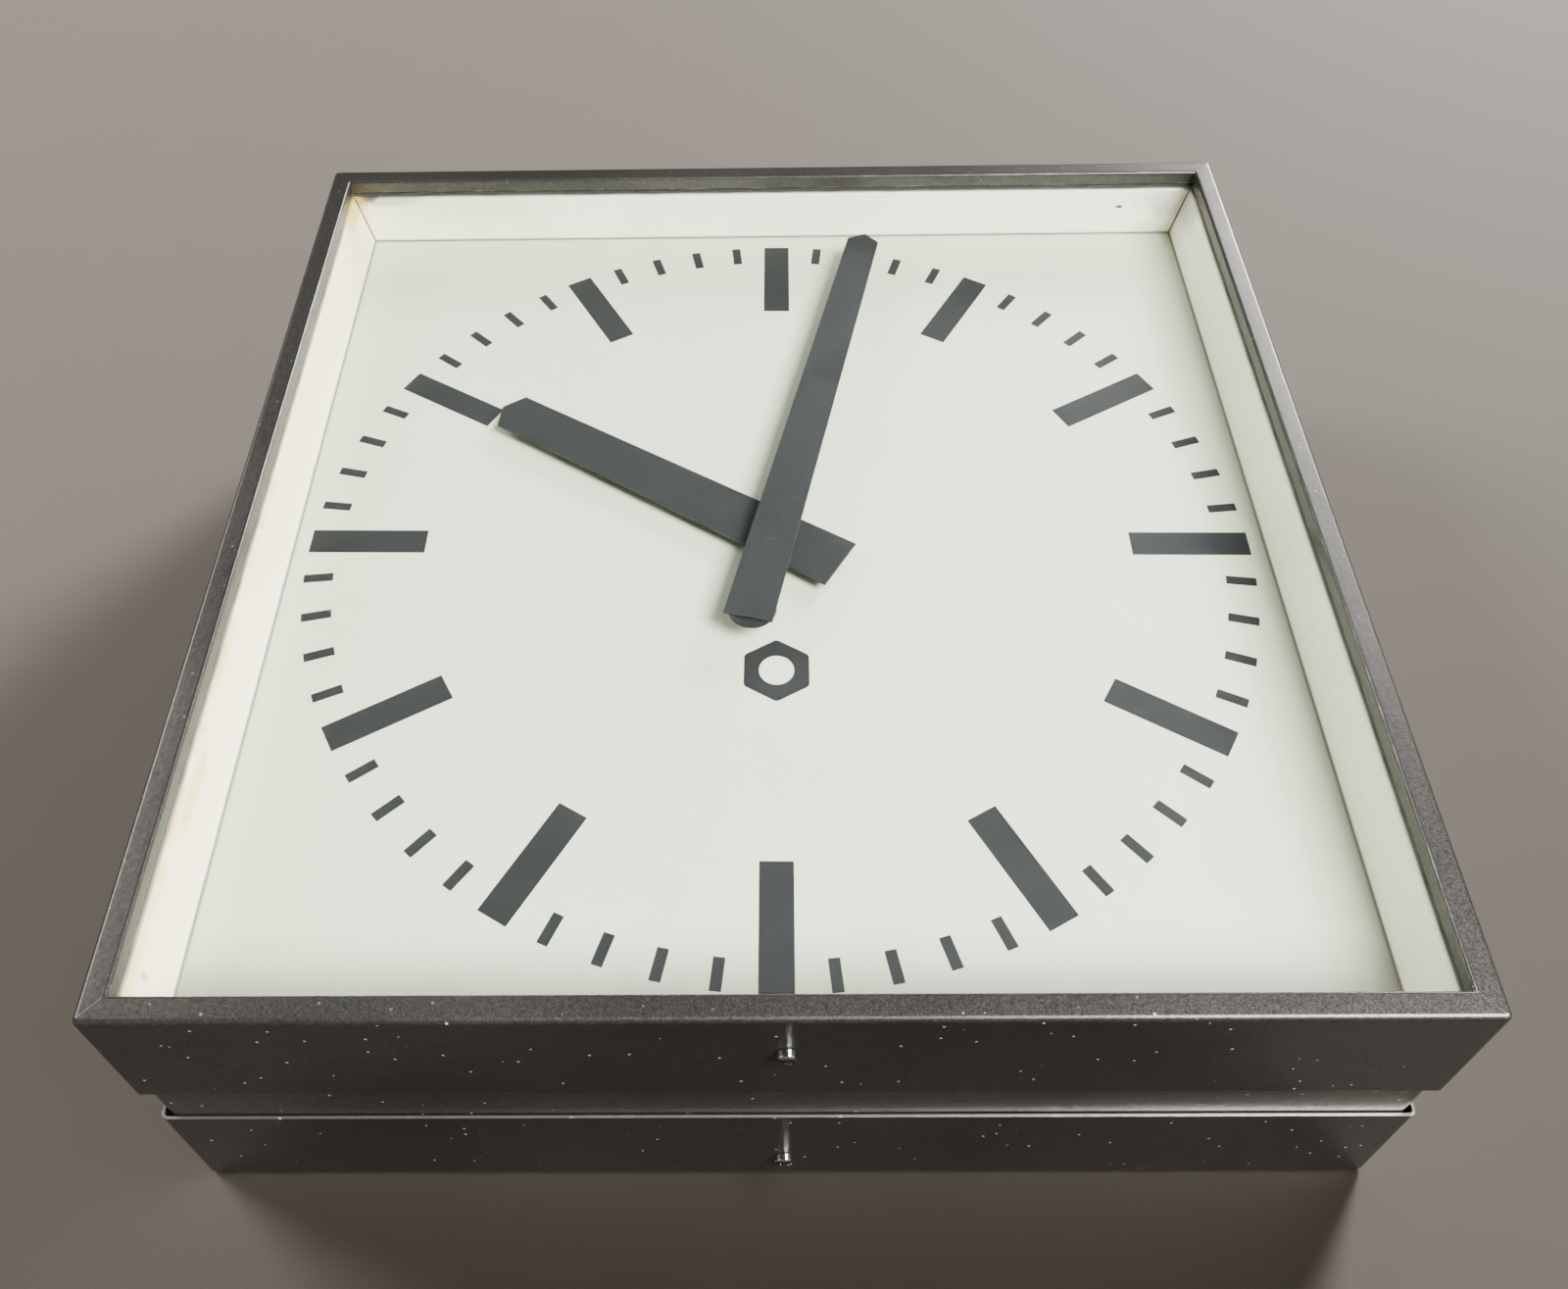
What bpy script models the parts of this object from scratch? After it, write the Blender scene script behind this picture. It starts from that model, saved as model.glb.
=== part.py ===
"""Square single-sided wall clock: sheet-steel wall tray, case, lift-off glazed cover and impulse movement.

Frame: X to the right, Z up, the dial faces -Y. The origin is the centre of the back plate's wall face, so a
depth d ahead of the wall is y = -d. Everything is in metres. Each sub-part is drawn in a lying frame (x right,
y towards 12 o'clock, z = depth ahead of the wall) and stood up by a quarter turn about X.
"""
import bpy
import bmesh
from math import pi, sin, cos, radians, sqrt, asin
from mathutils import Vector, Matrix

# ---------------------------------------------------------------- driving dimensions
COVER_OUT = 0.446            # outer side of the cover's square
TRAY_OUT = COVER_OUT - 0.001  # outer side of the wall tray
SHEET = 0.001                # sheet steel of tray, case and cover
CORNER_R = 0.0025            # outer radius of the upright corners of tray and cover
CASE_CORNER = 0.0045         # outer radius of the case wall's corners
TRAY_DEPTH = 0.060           # wall face to tray rim
FRONT = 0.147                # front plane of the cover
SKIRT = 0.061                # depth of the cover's skirt
RECESS = 0.0355              # front plane of the cover to the dial's face
DIAL_T = 0.001
SKIRT_REAR = FRONT - SKIRT
DIAL_FACE = FRONT - RECESS

GAP = 0.0003                 # gap between neighbours that rest on each other
SLIDE_CLEAR = 0.0005         # case wall inside the tray wall
COVER_CLEAR = 0.001          # case wall inside the cover's skirt
RUN = 0.00008                # radial running clearance of arbors and pipes
FIT = 0.0002                 # radial clearance of fixed collars

COVER_H = COVER_OUT / 2
TRAY_H = TRAY_OUT / 2
CASE_H = TRAY_H - SHEET - SLIDE_CLEAR          # outer half width of the case wall
CASE_IN = CASE_H - SHEET
COVER_IN = COVER_H - SHEET
assert COVER_IN - CASE_H >= COVER_CLEAR - 1e-6

LIP_WIDTH = 0.0094           # cover's front flange, seen from the front
LIP_DEPTH = 0.0066           # flange turned back towards the glass
LIP_IN = COVER_H - LIP_WIDTH
GLASS_T = 0.003
GLASS_FRONT = FRONT - LIP_DEPTH - GAP
GLASS_REAR = GLASS_FRONT - GLASS_T
GLASS_H = COVER_IN - 0.001
BEAD_T = 0.0012
BEAD_FRONT = GLASS_REAR - GAP

STRIP_T = 0.0006             # white reflector strips round the dial
STRIP_FRONT = BEAD_FRONT - BEAD_T - GAP
STRIP_BEND = LIP_IN - 0.0002         # half width at the strip's front bend
STRIP_FOOT_SIDE = LIP_IN - 0.0067    # half width at the dial, left and right strips
STRIP_FOOT_TOP = LIP_IN - 0.0044     # half width at the dial, top and bottom strips
STRIP_FLANGE = CASE_IN - 0.0005
STRIP_FOOT_D = DIAL_FACE + GAP
MITRE = 0.00015              # half the gap in a mitred corner

CASE_REAR = 0.006
CASE_FRONT = STRIP_FRONT - STRIP_T - 0.0002
DIAL_H = CASE_IN - 0.0008
DIAL_REAR = DIAL_FACE - DIAL_T
DIAL_BORE = 0.0055

TRAY_SCREW_D = 0.018         # depth of the tray's screws
COVER_SCREW_D = FRONT - 0.025  # depth of the cover's screws
SCREW_R = 0.00195            # M4 shank
SCREW_HEAD_R = 0.0035
SCREW_HEAD_H = 0.0028
NUT_AF = 0.007
NUT_T = 0.0032
NUT_OUT = CASE_IN - GAP      # outer face of the nuts, inside the case wall
SLOT_W = 2 * (SCREW_R + 0.00065)

RAIL_T = 0.001               # dial carrier frame
RAIL_FRONT = DIAL_REAR - GAP
RAIL_REAR = RAIL_FRONT - 0.0182
RAIL_IN = CASE_IN - 0.018
BRIDGE_T = 0.0015            # channel that carries the movement
BRIDGE_FRONT = RAIL_FRONT - RAIL_T - GAP
BRIDGE_REAR = BRIDGE_FRONT - BRIDGE_T
BRIDGE_H = 0.040
BRIDGE_LIP_REAR = BRIDGE_FRONT - 0.0134
BRIDGE_X = CASE_IN - 0.0018
BRIDGE_SCREW_X = CASE_IN - 0.0095

PLATE_T = 0.002
STANDOFF = 0.0214            # movement's front plate to the bridge
PLATE_PITCH = 0.032          # rear plate to front plate
FPLATE_FRONT = BRIDGE_REAR - STANDOFF
FPLATE_REAR = FPLATE_FRONT - PLATE_T
RPLATE_REAR = FPLATE_REAR - PLATE_PITCH
RPLATE_FRONT = RPLATE_REAR + PLATE_T
PLATE_X = 0.036
PLATE_TOP = 0.038
PLATE_BOTTOM = -0.052
RPLATE_BOTTOM = -0.068

# gear train: rotor pinion -> centre wheel; cannon pinion -> minute wheel; minute pinion -> hour wheel
TEETH_CENTRE, TEETH_ROTOR = 100, 10
TEETH_CANNON, TEETH_MINUTE = 12, 36
TEETH_MPINION, TEETH_HOUR = 10, 40
MOD_CENTRE = 0.0006
MOD_CANNON = 0.0006
ROTOR_DROP = MOD_CENTRE * (TEETH_CENTRE + TEETH_ROTOR) / 2          # rotor axis below the centre
POST_X = MOD_CANNON * (TEETH_CANNON + TEETH_MINUTE) / 2             # minute wheel's post, to the right
MOD_HOUR = 2 * POST_X / (TEETH_MPINION + TEETH_HOUR)
assert TEETH_MINUTE * TEETH_HOUR == 12 * TEETH_CANNON * TEETH_MPINION

ARBOR_R = 0.0015
CANNON_R = 0.0025
PIPE_R = 0.0035
ROTOR_ARBOR_R = 0.001
MAGNET_R = 0.011
POLE_R = MAGNET_R + 0.0008
YOKE_REAR = RPLATE_FRONT + GAP
YOKE_T = 0.012
CORE_Z = -0.081              # height of the coil's axis
CORE_H = 0.010
LEG_IN, LEG_OUT = 0.016, 0.026
BOBBIN_H = 0.012

HOUR_D = DIAL_FACE + 0.0047    # rear face of the hour hand
MINUTE_D = DIAL_FACE + 0.0125  # rear face of the minute hand
HAND_T = 0.001
MINUTE_DEG = 13.8            # hands at rest, clockwise from 12
HOUR_DEG = 302.2
MARK_RING = STRIP_FOOT_SIDE - 0.0069  # outer radius of the dial's printed marks
HOUR_MARK = 0.050            # length of the printed hour marks
HOUR_TIP = MARK_RING - HOUR_MARK - 0.0025
HOUR_SHOULDER, HOUR_TAIL = HOUR_TIP - 0.0051, 0.0312
HOUR_TIP_W, HOUR_TAIL_W = 0.0106, 0.0129
MIN_TIP = MARK_RING - 0.001
MIN_SHOULDER, MIN_TAIL = MIN_TIP - 0.005, 0.0515
MIN_TIP_W, MIN_TAIL_W = 0.00775, 0.01015
WEIGHT_R = 0.010
WEIGHT_T = 0.003

KEY_X, KEY_Z = 0.150, 0.155  # keyholes in the back plate
FOOT_HOLE_Z = 0.0445 - TRAY_H
CABLE_X, CABLE_Z = 0.095, -0.040
CABLE_R = 0.011
TERM_X, TERM_W, TERM_HH = 0.090, 0.030, 0.009
TERM_REAR = BRIDGE_REAR - 0.0154
TERM_PITCH = 0.012

UPRIGHT = (pi / 2, 0, 0)

for _ob in list(bpy.data.objects):
    bpy.data.objects.remove(_ob, do_unlink=True)

PARTS = bpy.data.collections.new("square_wall_clock")
CUTTERS = bpy.data.collections.new("cutters")
bpy.context.scene.collection.children.link(PARTS)
bpy.context.scene.collection.children.link(CUTTERS)


# ---------------------------------------------------------------- materials
def linear(c):
    return tuple(((v / 255) / 12.92) if v / 255 <= 0.04045 else (((v / 255) + 0.055) / 1.055) ** 2.4 for v in c)


def material(name, srgb, rough, metal, transmission=0.0):
    mat = bpy.data.materials.new(name)
    mat.use_nodes = True
    shader = mat.node_tree.nodes["Principled BSDF"]
    shader.inputs["Base Color"].default_value = (*linear(srgb), 1)
    shader.inputs["Roughness"].default_value = rough
    shader.inputs["Metallic"].default_value = metal
    shader.inputs["Transmission Weight"].default_value = transmission
    mat.diffuse_color = (*linear(srgb), 1)
    return mat


GREY = material("hammered_grey_enamel", (92, 88, 84), 0.35, 0.3)
CREAM = material("cream_enamel", (236, 233, 217), 0.45, 0.0)
DIALM = material("dial_enamel", (219, 222, 209), 0.5, 0.0)
HANDM = material("hand_grey_enamel", (87, 89, 85), 0.5, 0.0)
STEEL = material("bright_steel", (176, 176, 172), 0.3, 1.0)
ZINC = material("zinc_plated_steel", (150, 150, 145), 0.4, 1.0)
BRASS = material("brass", (190, 158, 92), 0.35, 1.0)
GLASSM = material("clear_glass", (240, 246, 243), 0.03, 0.0, 1.0)
RUBBER = material("black_rubber", (32, 32, 32), 0.75, 0.0)
BEADM = material("glazing_compound", (120, 116, 108), 0.8, 0.0)
LEAD = material("lead_alloy", (96, 98, 99), 0.6, 0.6)
IRON = material("silicon_iron", (104, 100, 96), 0.45, 0.9)
MAGNET = material("ferrite_magnet", (58, 56, 55), 0.6, 0.2)
NYLON = material("moulded_bobbin", (204, 190, 158), 0.5, 0.0)
COPPER = material("taped_copper_winding", (150, 96, 52), 0.55, 0.3)
BAKELITE = material("brown_bakelite", (62, 38, 26), 0.35, 0.0)
PVC = material("lead_insulation", (150, 44, 36), 0.5, 0.0)


# ---------------------------------------------------------------- modelling helpers
def add(name, mesh, mat=None, loc=(0, 0, 0), rot=UPRIGHT, cutter=False):
    ob = bpy.data.objects.new(name, mesh)
    ob.location = loc
    ob.rotation_euler = rot
    (CUTTERS if cutter else PARTS).objects.link(ob)
    if cutter:
        ob.hide_render = True
        ob.display_type = 'WIRE'
    if mat:
        mesh.materials.clear()
        mesh.materials.append(mat)
    return ob


def finish(bm, name, smooth=None):
    bmesh.ops.remove_doubles(bm, verts=bm.verts, dist=2e-6)
    bmesh.ops.recalc_face_normals(bm, faces=bm.faces)
    mesh = bpy.data.meshes.new(name)
    bm.to_mesh(mesh)
    bm.free()
    if smooth is not None:
        mesh.shade_smooth()
        mesh.set_sharp_from_angle(angle=radians(smooth))
    return mesh


def loft(name, loops, ring=False, smooth=None):
    """Skin between sections of equal point count; a ring joins the last section to the first."""
    bm = bmesh.new()
    rows = [[bm.verts.new(p) for p in loop] for loop in loops]
    n = len(rows[0])
    pairs = list(zip(rows, rows[1:])) + ([(rows[-1], rows[0])] if ring else [])
    for a, b in pairs:
        for i in range(n):
            bm.faces.new((a[i], a[(i + 1) % n], b[(i + 1) % n], b[i]))
    if not ring:
        bm.faces.new(rows[0])
        bm.faces.new(rows[-1])
    return finish(bm, name, smooth)


def square_loop(w, d, r, steps=2):
    """A square of half width w at depth d whose corners have radius r."""
    pts = []
    for k in range(4):
        mid = pi / 4 + k * pi / 2
        cx, cy = (w - r) * (1 if cos(mid) > 0 else -1), (w - r) * (1 if sin(mid) > 0 else -1)
        for s in range(steps + 1):
            a = k * pi / 2 + s * (pi / 2) / steps
            pts.append((cx + r * cos(a), cy + r * sin(a), d))
    return pts


def sheet_square(name, profile, outer, radius, ring=True):
    """Folded sheet round a square: each (half width, depth) of the profile becomes a rounded square."""
    return loft(name, [square_loop(w, d, max(radius - (outer - w), 0.0)) for w, d in profile], ring, 40)


def rect_ring(name, hx, hy, profile):
    """A closed (offset, depth) profile carried round a rectangle of half sides hx, hy."""
    return loft(name, [[(sx * (hx + o), sy * (hy + o), d) for sx, sy in ((1, 1), (-1, 1), (-1, -1), (1, -1))]
                       for o, d in profile], True)


def box(name, lo, hi):
    bm = bmesh.new()
    bmesh.ops.create_cube(bm, size=1)
    size = Vector(hi) - Vector(lo)
    bmesh.ops.scale(bm, vec=size, verts=bm.verts)
    bmesh.ops.translate(bm, vec=(Vector(hi) + Vector(lo)) / 2, verts=bm.verts)
    return finish(bm, name)


def rod(name, r, z0, z1, seg=24, at=(0, 0)):
    bm = bmesh.new()
    bmesh.ops.create_cone(bm, cap_ends=True, segments=seg, radius1=r, radius2=r, depth=z1 - z0)
    bmesh.ops.translate(bm, vec=(at[0], at[1], (z0 + z1) / 2), verts=bm.verts)
    return finish(bm, name, 30)


def turned(name, profile, mat, loc=(0, 0, 0), rot=UPRIGHT, steps=24, cutter=False, closed=False):
    """A turned shape: (radius, height) points down the outer side, spun by a Screw modifier."""
    mesh = bpy.data.meshes.new(name)
    n = len(profile)
    edges = [(i, i + 1) for i in range(n - 1)] + ([(n - 1, 0)] if closed else [])
    mesh.from_pydata([(r, 0, z) for r, z in profile], edges, [])
    ob = add(name, mesh, mat, loc, rot, cutter)
    mod = ob.modifiers.new("turn", 'SCREW')
    mod.steps = mod.render_steps = steps
    mod.use_merge_vertices = True
    mod.merge_threshold = 1e-5
    mod.use_smooth_shade = False
    return ob


def circle(r, n=24, at=(0, 0), phase=0.0):
    return [(at[0] + r * cos(phase + 2 * pi * i / n), at[1] + r * sin(phase + 2 * pi * i / n)) for i in range(n)]


def plate(name, outlines, d0, d1):
    """A flat outline with its holes, from depth d0 to d1."""
    crv = bpy.data.curves.new(name, 'CURVE')
    crv.dimensions = '2D'
    crv.fill_mode = 'BOTH'
    crv.extrude = (d1 - d0) / 2
    for pts in outlines:
        sp = crv.splines.new('POLY')
        sp.points.add(len(pts) - 1)
        for p, (x, y) in zip(sp.points, pts):
            p.co = (x, y, 0, 1)
        sp.use_cyclic_u = True
    tmp = bpy.data.objects.new(name, crv)
    bpy.context.scene.collection.objects.link(tmp)
    bpy.context.view_layer.update()
    mesh = bpy.data.meshes.new_from_object(tmp.evaluated_get(bpy.context.evaluated_depsgraph_get()))
    bpy.data.objects.remove(tmp, do_unlink=True)
    bpy.data.curves.remove(crv)
    bm = bmesh.new()
    bm.from_mesh(mesh)
    bmesh.ops.translate(bm, vec=(0, 0, (d0 + d1) / 2), verts=bm.verts)
    bmesh.ops.remove_doubles(bm, verts=bm.verts, dist=2e-6)
    bmesh.ops.recalc_face_normals(bm, faces=bm.faces)
    bm.to_mesh(mesh)
    bm.free()
    mesh.name = name
    return mesh


def gear(teeth, module, phase=0.0, add_h=0.8, ded_h=1.2):
    """Trapezoid teeth; one tooth is centred on the angle phase."""
    r = module * teeth / 2
    tip, root = r + add_h * module, r - ded_h * module
    step = 2 * pi / teeth
    pts = []
    for k in range(teeth):
        a = phase + k * step
        for rr, f in ((root, -0.26), (tip, -0.11), (tip, 0.11), (root, 0.26)):
            pts.append((rr * cos(a + f * step), rr * sin(a + f * step)))
    return pts


def boolean(ob, mesh_or_ob, op='DIFFERENCE', loc=(0, 0, 0), rot=UPRIGHT):
    tool = mesh_or_ob
    if not isinstance(tool, bpy.types.Object):
        tool = add(ob.name + "_" + mesh_or_ob.name, mesh_or_ob, None, loc, rot, cutter=True)
    mod = ob.modifiers.new(op.lower(), 'BOOLEAN')
    mod.operation = op
    mod.object = tool
    return ob


def wire(name, route, r, mat):
    """A round lead through the route's points, smoothed by a Catmull-Rom spline."""
    pts = []
    ext = [route[0]] + list(route) + [route[-1]]
    for i in range(1, len(ext) - 2):
        p0, p1, p2, p3 = (Vector(p) for p in ext[i - 1:i + 3])
        for s in range(6):
            t = s / 6
            pts.append(0.5 * ((2 * p1) + (p2 - p0) * t + (2 * p0 - 5 * p1 + 4 * p2 - p3) * t * t
                              + (3 * p1 - p0 - 3 * p2 + p3) * t ** 3))
    pts.append(Vector(route[-1]))
    crv = bpy.data.curves.new(name, 'CURVE')
    crv.dimensions = '3D'
    crv.bevel_depth = r
    crv.bevel_resolution = 2
    crv.use_fill_caps = True
    sp = crv.splines.new('POLY')
    sp.points.add(len(pts) - 1)
    for p, v in zip(sp.points, pts):
        p.co = (*v, 1)
    ob = bpy.data.objects.new(name, crv)
    ob.rotation_euler = UPRIGHT
    crv.materials.append(mat)
    PARTS.objects.link(ob)
    return ob


# ---------------------------------------------------------------- wall tray
floor_in = TRAY_H - 0.0225
tray = add("wall_tray", sheet_square("wall_tray", [
    (floor_in, SHEET), (TRAY_H - 0.0022, SHEET), (TRAY_H - SHEET, 0.0022), (TRAY_H - SHEET, TRAY_DEPTH),
    (TRAY_H, TRAY_DEPTH), (TRAY_H, 0.0018), (TRAY_H - 0.0005, 0.0005), (TRAY_H - 0.0018, 0.0), (floor_in, 0.0)],
    TRAY_H, CORNER_R, ring=False), GREY)
for sx in (-1, 1):
    head = [(sx * KEY_X + x, KEY_Z + z) for x, z in circle(0.0055, 20)]
    boolean(tray, plate("key_head", [head], -0.002, 0.004))
    boolean(tray, plate("key_slot", [[(sx * KEY_X - 0.0026, KEY_Z), (sx * KEY_X + 0.0026, KEY_Z),
                                      (sx * KEY_X + 0.0026, KEY_Z + 0.0148), (sx * KEY_X, KEY_Z + 0.0160),
                                      (sx * KEY_X - 0.0026, KEY_Z + 0.0148)]], -0.002, 0.004))
boolean(tray, plate("foot_hole", [circle(0.003, 16, (0, FOOT_HOLE_Z))], -0.002, 0.004))
boolean(tray, plate("cable_hole", [circle(CABLE_R, 28, (CABLE_X, CABLE_Z))], -0.002, 0.004))

grommet = turned("cable_grommet", [
    (CABLE_R + 0.0025, 0.0038), (CABLE_R + 0.0025, SHEET + GAP), (CABLE_R - GAP, SHEET + GAP),
    (CABLE_R - GAP, 0.0004), (CABLE_R - 0.0034, 0.0004), (CABLE_R - 0.0034, 0.0038)],
    RUBBER, (CABLE_X, 0, CABLE_Z), steps=28, closed=True)


# ---------------------------------------------------------------- the four side screws and their nuts
def cheese_screw(name, loc, up, shank):
    ob = turned(name, [(0, SCREW_HEAD_H), (SCREW_HEAD_R - 0.0004, SCREW_HEAD_H),
                       (SCREW_HEAD_R, SCREW_HEAD_H - 0.0004), (SCREW_HEAD_R, 0), (SCREW_R, 0),
                       (SCREW_R, -shank), (0, -shank)], STEEL, loc, (0, 0, 0) if up else (pi, 0, 0), steps=20)
    boolean(ob, box("slot", (-0.006, -0.00055, SCREW_HEAD_H - 0.0011), (0.006, 0.00055, 0.006)),
            loc=loc, rot=(0, 0, 0) if up else (pi, 0, 0))
    return ob


def hex_nut(name, loc, up):
    hexa = circle(NUT_AF / sqrt(3), 6)
    return add(name, plate(name, [hexa, circle(SCREW_R + FIT, 12)], -NUT_T, 0.0), ZINC, loc,
               (0, 0, 0) if up else (pi, 0, 0))


for tag, up in (("top", True), ("bottom", False)):
    s = 1 if up else -1
    for kind, half, d in (("tray", TRAY_H, TRAY_SCREW_D), ("cover", COVER_H, COVER_SCREW_D)):
        seat = half + GAP
        cheese_screw("%s_screw_%s" % (kind, tag), (0, -d, s * seat), up, seat - (NUT_OUT - NUT_T - 0.0005))
        hex_nut("%s_nut_%s" % (kind, tag), (0, -d, s * NUT_OUT), up)

for s in (-1, 1):
    boolean(tray, rod("screw_hole", SCREW_R + 0.0003, TRAY_H - 0.004, TRAY_H + 0.004, 16),
            loc=(0, -TRAY_SCREW_D, 0), rot=(0 if s > 0 else pi, 0, 0))

# ---------------------------------------------------------------- case wall with its open slots
case = add("case_body", sheet_square("case_body", [
    (CASE_H, CASE_FRONT), (CASE_H, CASE_REAR), (CASE_IN, CASE_REAR), (CASE_IN, CASE_FRONT)],
    CASE_H, CASE_CORNER), GREY)
for tag, d, end in (("tray_slot", TRAY_SCREW_D, CASE_REAR - 0.003), ("cover_slot", COVER_SCREW_D, CASE_FRONT + 0.003)):
    half = SLOT_W / 2
    away = 1 if end > d else -1
    outline = [(half * cos(pi * k / 8), d - away * half * sin(pi * k / 8)) for k in range(9)]
    outline += [(-half, end), (half, end)]
    for rot in ((0, 0, pi), (pi, 0, 0)):
        boolean(case, plate(tag, [outline], CASE_IN - 0.003, CASE_H + 0.003), rot=rot)

# ---------------------------------------------------------------- dial carrier frame and dial
frame_out = CASE_IN - GAP
add("dial_frame", sheet_square("dial_frame", [
    (frame_out, RAIL_FRONT), (frame_out, RAIL_REAR), (frame_out - RAIL_T, RAIL_REAR),
    (frame_out - RAIL_T, RAIL_FRONT - RAIL_T), (RAIL_IN, RAIL_FRONT - RAIL_T), (RAIL_IN, RAIL_FRONT)],
    frame_out, CASE_CORNER - SHEET - GAP), ZINC)
dial_frame = PARTS.objects["dial_frame"]
for sx in (-1, 1):
    boolean(dial_frame, rod("tapped_hole", SCREW_R + FIT, RAIL_FRONT - 0.004, RAIL_FRONT + 0.004, 12,
                            (sx * BRIDGE_SCREW_X, 0)))
dial_sq = [(x, y) for x, y, d in square_loop(DIAL_H, 0.0, CASE_CORNER - SHEET - (CASE_IN - DIAL_H))]
add("dial_plate", plate("dial_plate", [dial_sq, circle(DIAL_BORE, 32)], DIAL_REAR, DIAL_FACE), DIALM)


# ---------------------------------------------------------------- white reflector strips, mitred at the corners
def strip_section(foot):
    """(half width, depth) round the folded strip: slope, front flange, and back."""
    return [(foot, STRIP_FOOT_D), (STRIP_BEND, STRIP_FRONT), (STRIP_FLANGE, STRIP_FRONT),
            (STRIP_FLANGE, STRIP_FRONT - STRIP_T), (STRIP_BEND + STRIP_T, STRIP_FRONT - STRIP_T),
            (foot + STRIP_T, STRIP_FOOT_D)]


def strip(name, foot, other_foot, quarter):
    own, other = strip_section(foot), strip_section(other_foot)
    ends = []
    for side in (-1, 1):
        ends.append([(side * (o[0] - 2 * MITRE), w, d) for (w, d), o in zip(own, other)])
    mesh = loft(name, ends)
    mesh.transform(Matrix.Rotation(quarter * pi / 2, 4, 'Z'))
    return add(name, mesh, CREAM)


strips = {"top": strip("reflector_top", STRIP_FOOT_TOP, STRIP_FOOT_SIDE, 0),
          "left": strip("reflector_left", STRIP_FOOT_SIDE, STRIP_FOOT_TOP, 1),
          "bottom": strip("reflector_bottom", STRIP_FOOT_TOP, STRIP_FOOT_SIDE, 2),
          "right": strip("reflector_right", STRIP_FOOT_SIDE, STRIP_FOOT_TOP, 3)}
for tag, s in (("top", 1), ("bottom", -1)):
    lo, hi = sorted((s * (STRIP_BEND + 0.0016), s * (CASE_IN + 0.003)))
    boolean(strips[tag], box("nut_notch", (-0.0055, lo, STRIP_FRONT - 0.003), (0.0055, hi, STRIP_FRONT + 0.003)))

# ---------------------------------------------------------------- channel across the case that carries the movement
web = [(-BRIDGE_H, BRIDGE_FRONT), (BRIDGE_H, BRIDGE_FRONT), (BRIDGE_H, BRIDGE_LIP_REAR),
       (BRIDGE_H - BRIDGE_T, BRIDGE_LIP_REAR), (BRIDGE_H - BRIDGE_T, BRIDGE_REAR),
       (-BRIDGE_H + BRIDGE_T, BRIDGE_REAR), (-BRIDGE_H + BRIDGE_T, BRIDGE_LIP_REAR), (-BRIDGE_H, BRIDGE_LIP_REAR)]
bridge = add("movement_bridge", loft("movement_bridge", [[(x, y, d) for y, d in web]
                                                        for x in (-BRIDGE_X, BRIDGE_X)]), ZINC)
boolean(bridge, rod("pipe_hole", 0.008, BRIDGE_REAR - 0.003, BRIDGE_FRONT + 0.003, 28))
STANDOFFS = [(-0.029, 0.018), (0.029, 0.018), (0.0, -0.029)]
for x, y in STANDOFFS:
    boolean(bridge, rod("standoff_hole", 0.0022, BRIDGE_REAR - 0.003, BRIDGE_FRONT + 0.003, 12, (x, y)))
for sx, tag in ((-1, "left"), (1, "right")):
    boolean(bridge, rod("screw_hole", SCREW_R + 0.0003, BRIDGE_REAR - 0.003, BRIDGE_FRONT + 0.003, 12,
                        (sx * BRIDGE_SCREW_X, 0)))
    z0 = BRIDGE_REAR - GAP
    turned("bridge_screw_" + tag, [(0, z0 + 0.0026 + GAP), (SCREW_R, z0 + 0.0026 + GAP), (SCREW_R, z0),
                                   (SCREW_HEAD_R, z0), (SCREW_HEAD_R, z0 - 0.0026), (0, z0 - 0.0026)],
           ZINC, (sx * BRIDGE_SCREW_X, 0, 0), steps=16)


# ---------------------------------------------------------------- movement frame
def holes(points, r, n=12):
    return [circle(r, n, p) for p in points]


PILLARS = [(-0.031, 0.031), (0.031, 0.031), (-0.031, -0.046)]
front_sq = [(PLATE_X, PLATE_BOTTOM), (PLATE_X, PLATE_TOP), (-PLATE_X, PLATE_TOP), (-PLATE_X, PLATE_BOTTOM)]
rear_sq = [(PLATE_X, RPLATE_BOTTOM), (PLATE_X, PLATE_TOP), (-PLATE_X, PLATE_TOP), (-PLATE_X, RPLATE_BOTTOM)]
YOKE_SCREWS = [(-0.021, -0.060), (0.021, -0.060)]
rotor_at = (0, -ROTOR_DROP)
add("front_plate", plate("front_plate", [front_sq, circle(ARBOR_R + RUN, 20), circle(ROTOR_ARBOR_R + RUN, 16, rotor_at),
                                         circle(0.0012 + FIT, 12, (POST_X, 0))]
                         + holes(PILLARS, 0.0022) + holes(STANDOFFS, 0.0022), FPLATE_REAR, FPLATE_FRONT), BRASS)
add("rear_plate", plate("rear_plate", [rear_sq, circle(ARBOR_R + RUN, 20), circle(ROTOR_ARBOR_R + RUN, 16, rotor_at)]
                        + holes(PILLARS, 0.0022) + holes(YOKE_SCREWS, 0.0018), RPLATE_REAR, RPLATE_FRONT), BRASS)
for i, (x, y) in enumerate(STANDOFFS, 1):
    a, b = FPLATE_FRONT + GAP, BRIDGE_REAR - GAP
    turned("movement_standoff_%d" % i, [
        (0, BRIDGE_FRONT), (0.002, BRIDGE_FRONT), (0.002, b), (0.004, b), (0.004, a), (0.002, a),
        (0.002, FPLATE_REAR), (0, FPLATE_REAR)], ZINC, (x, 0, y), steps=16)
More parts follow.
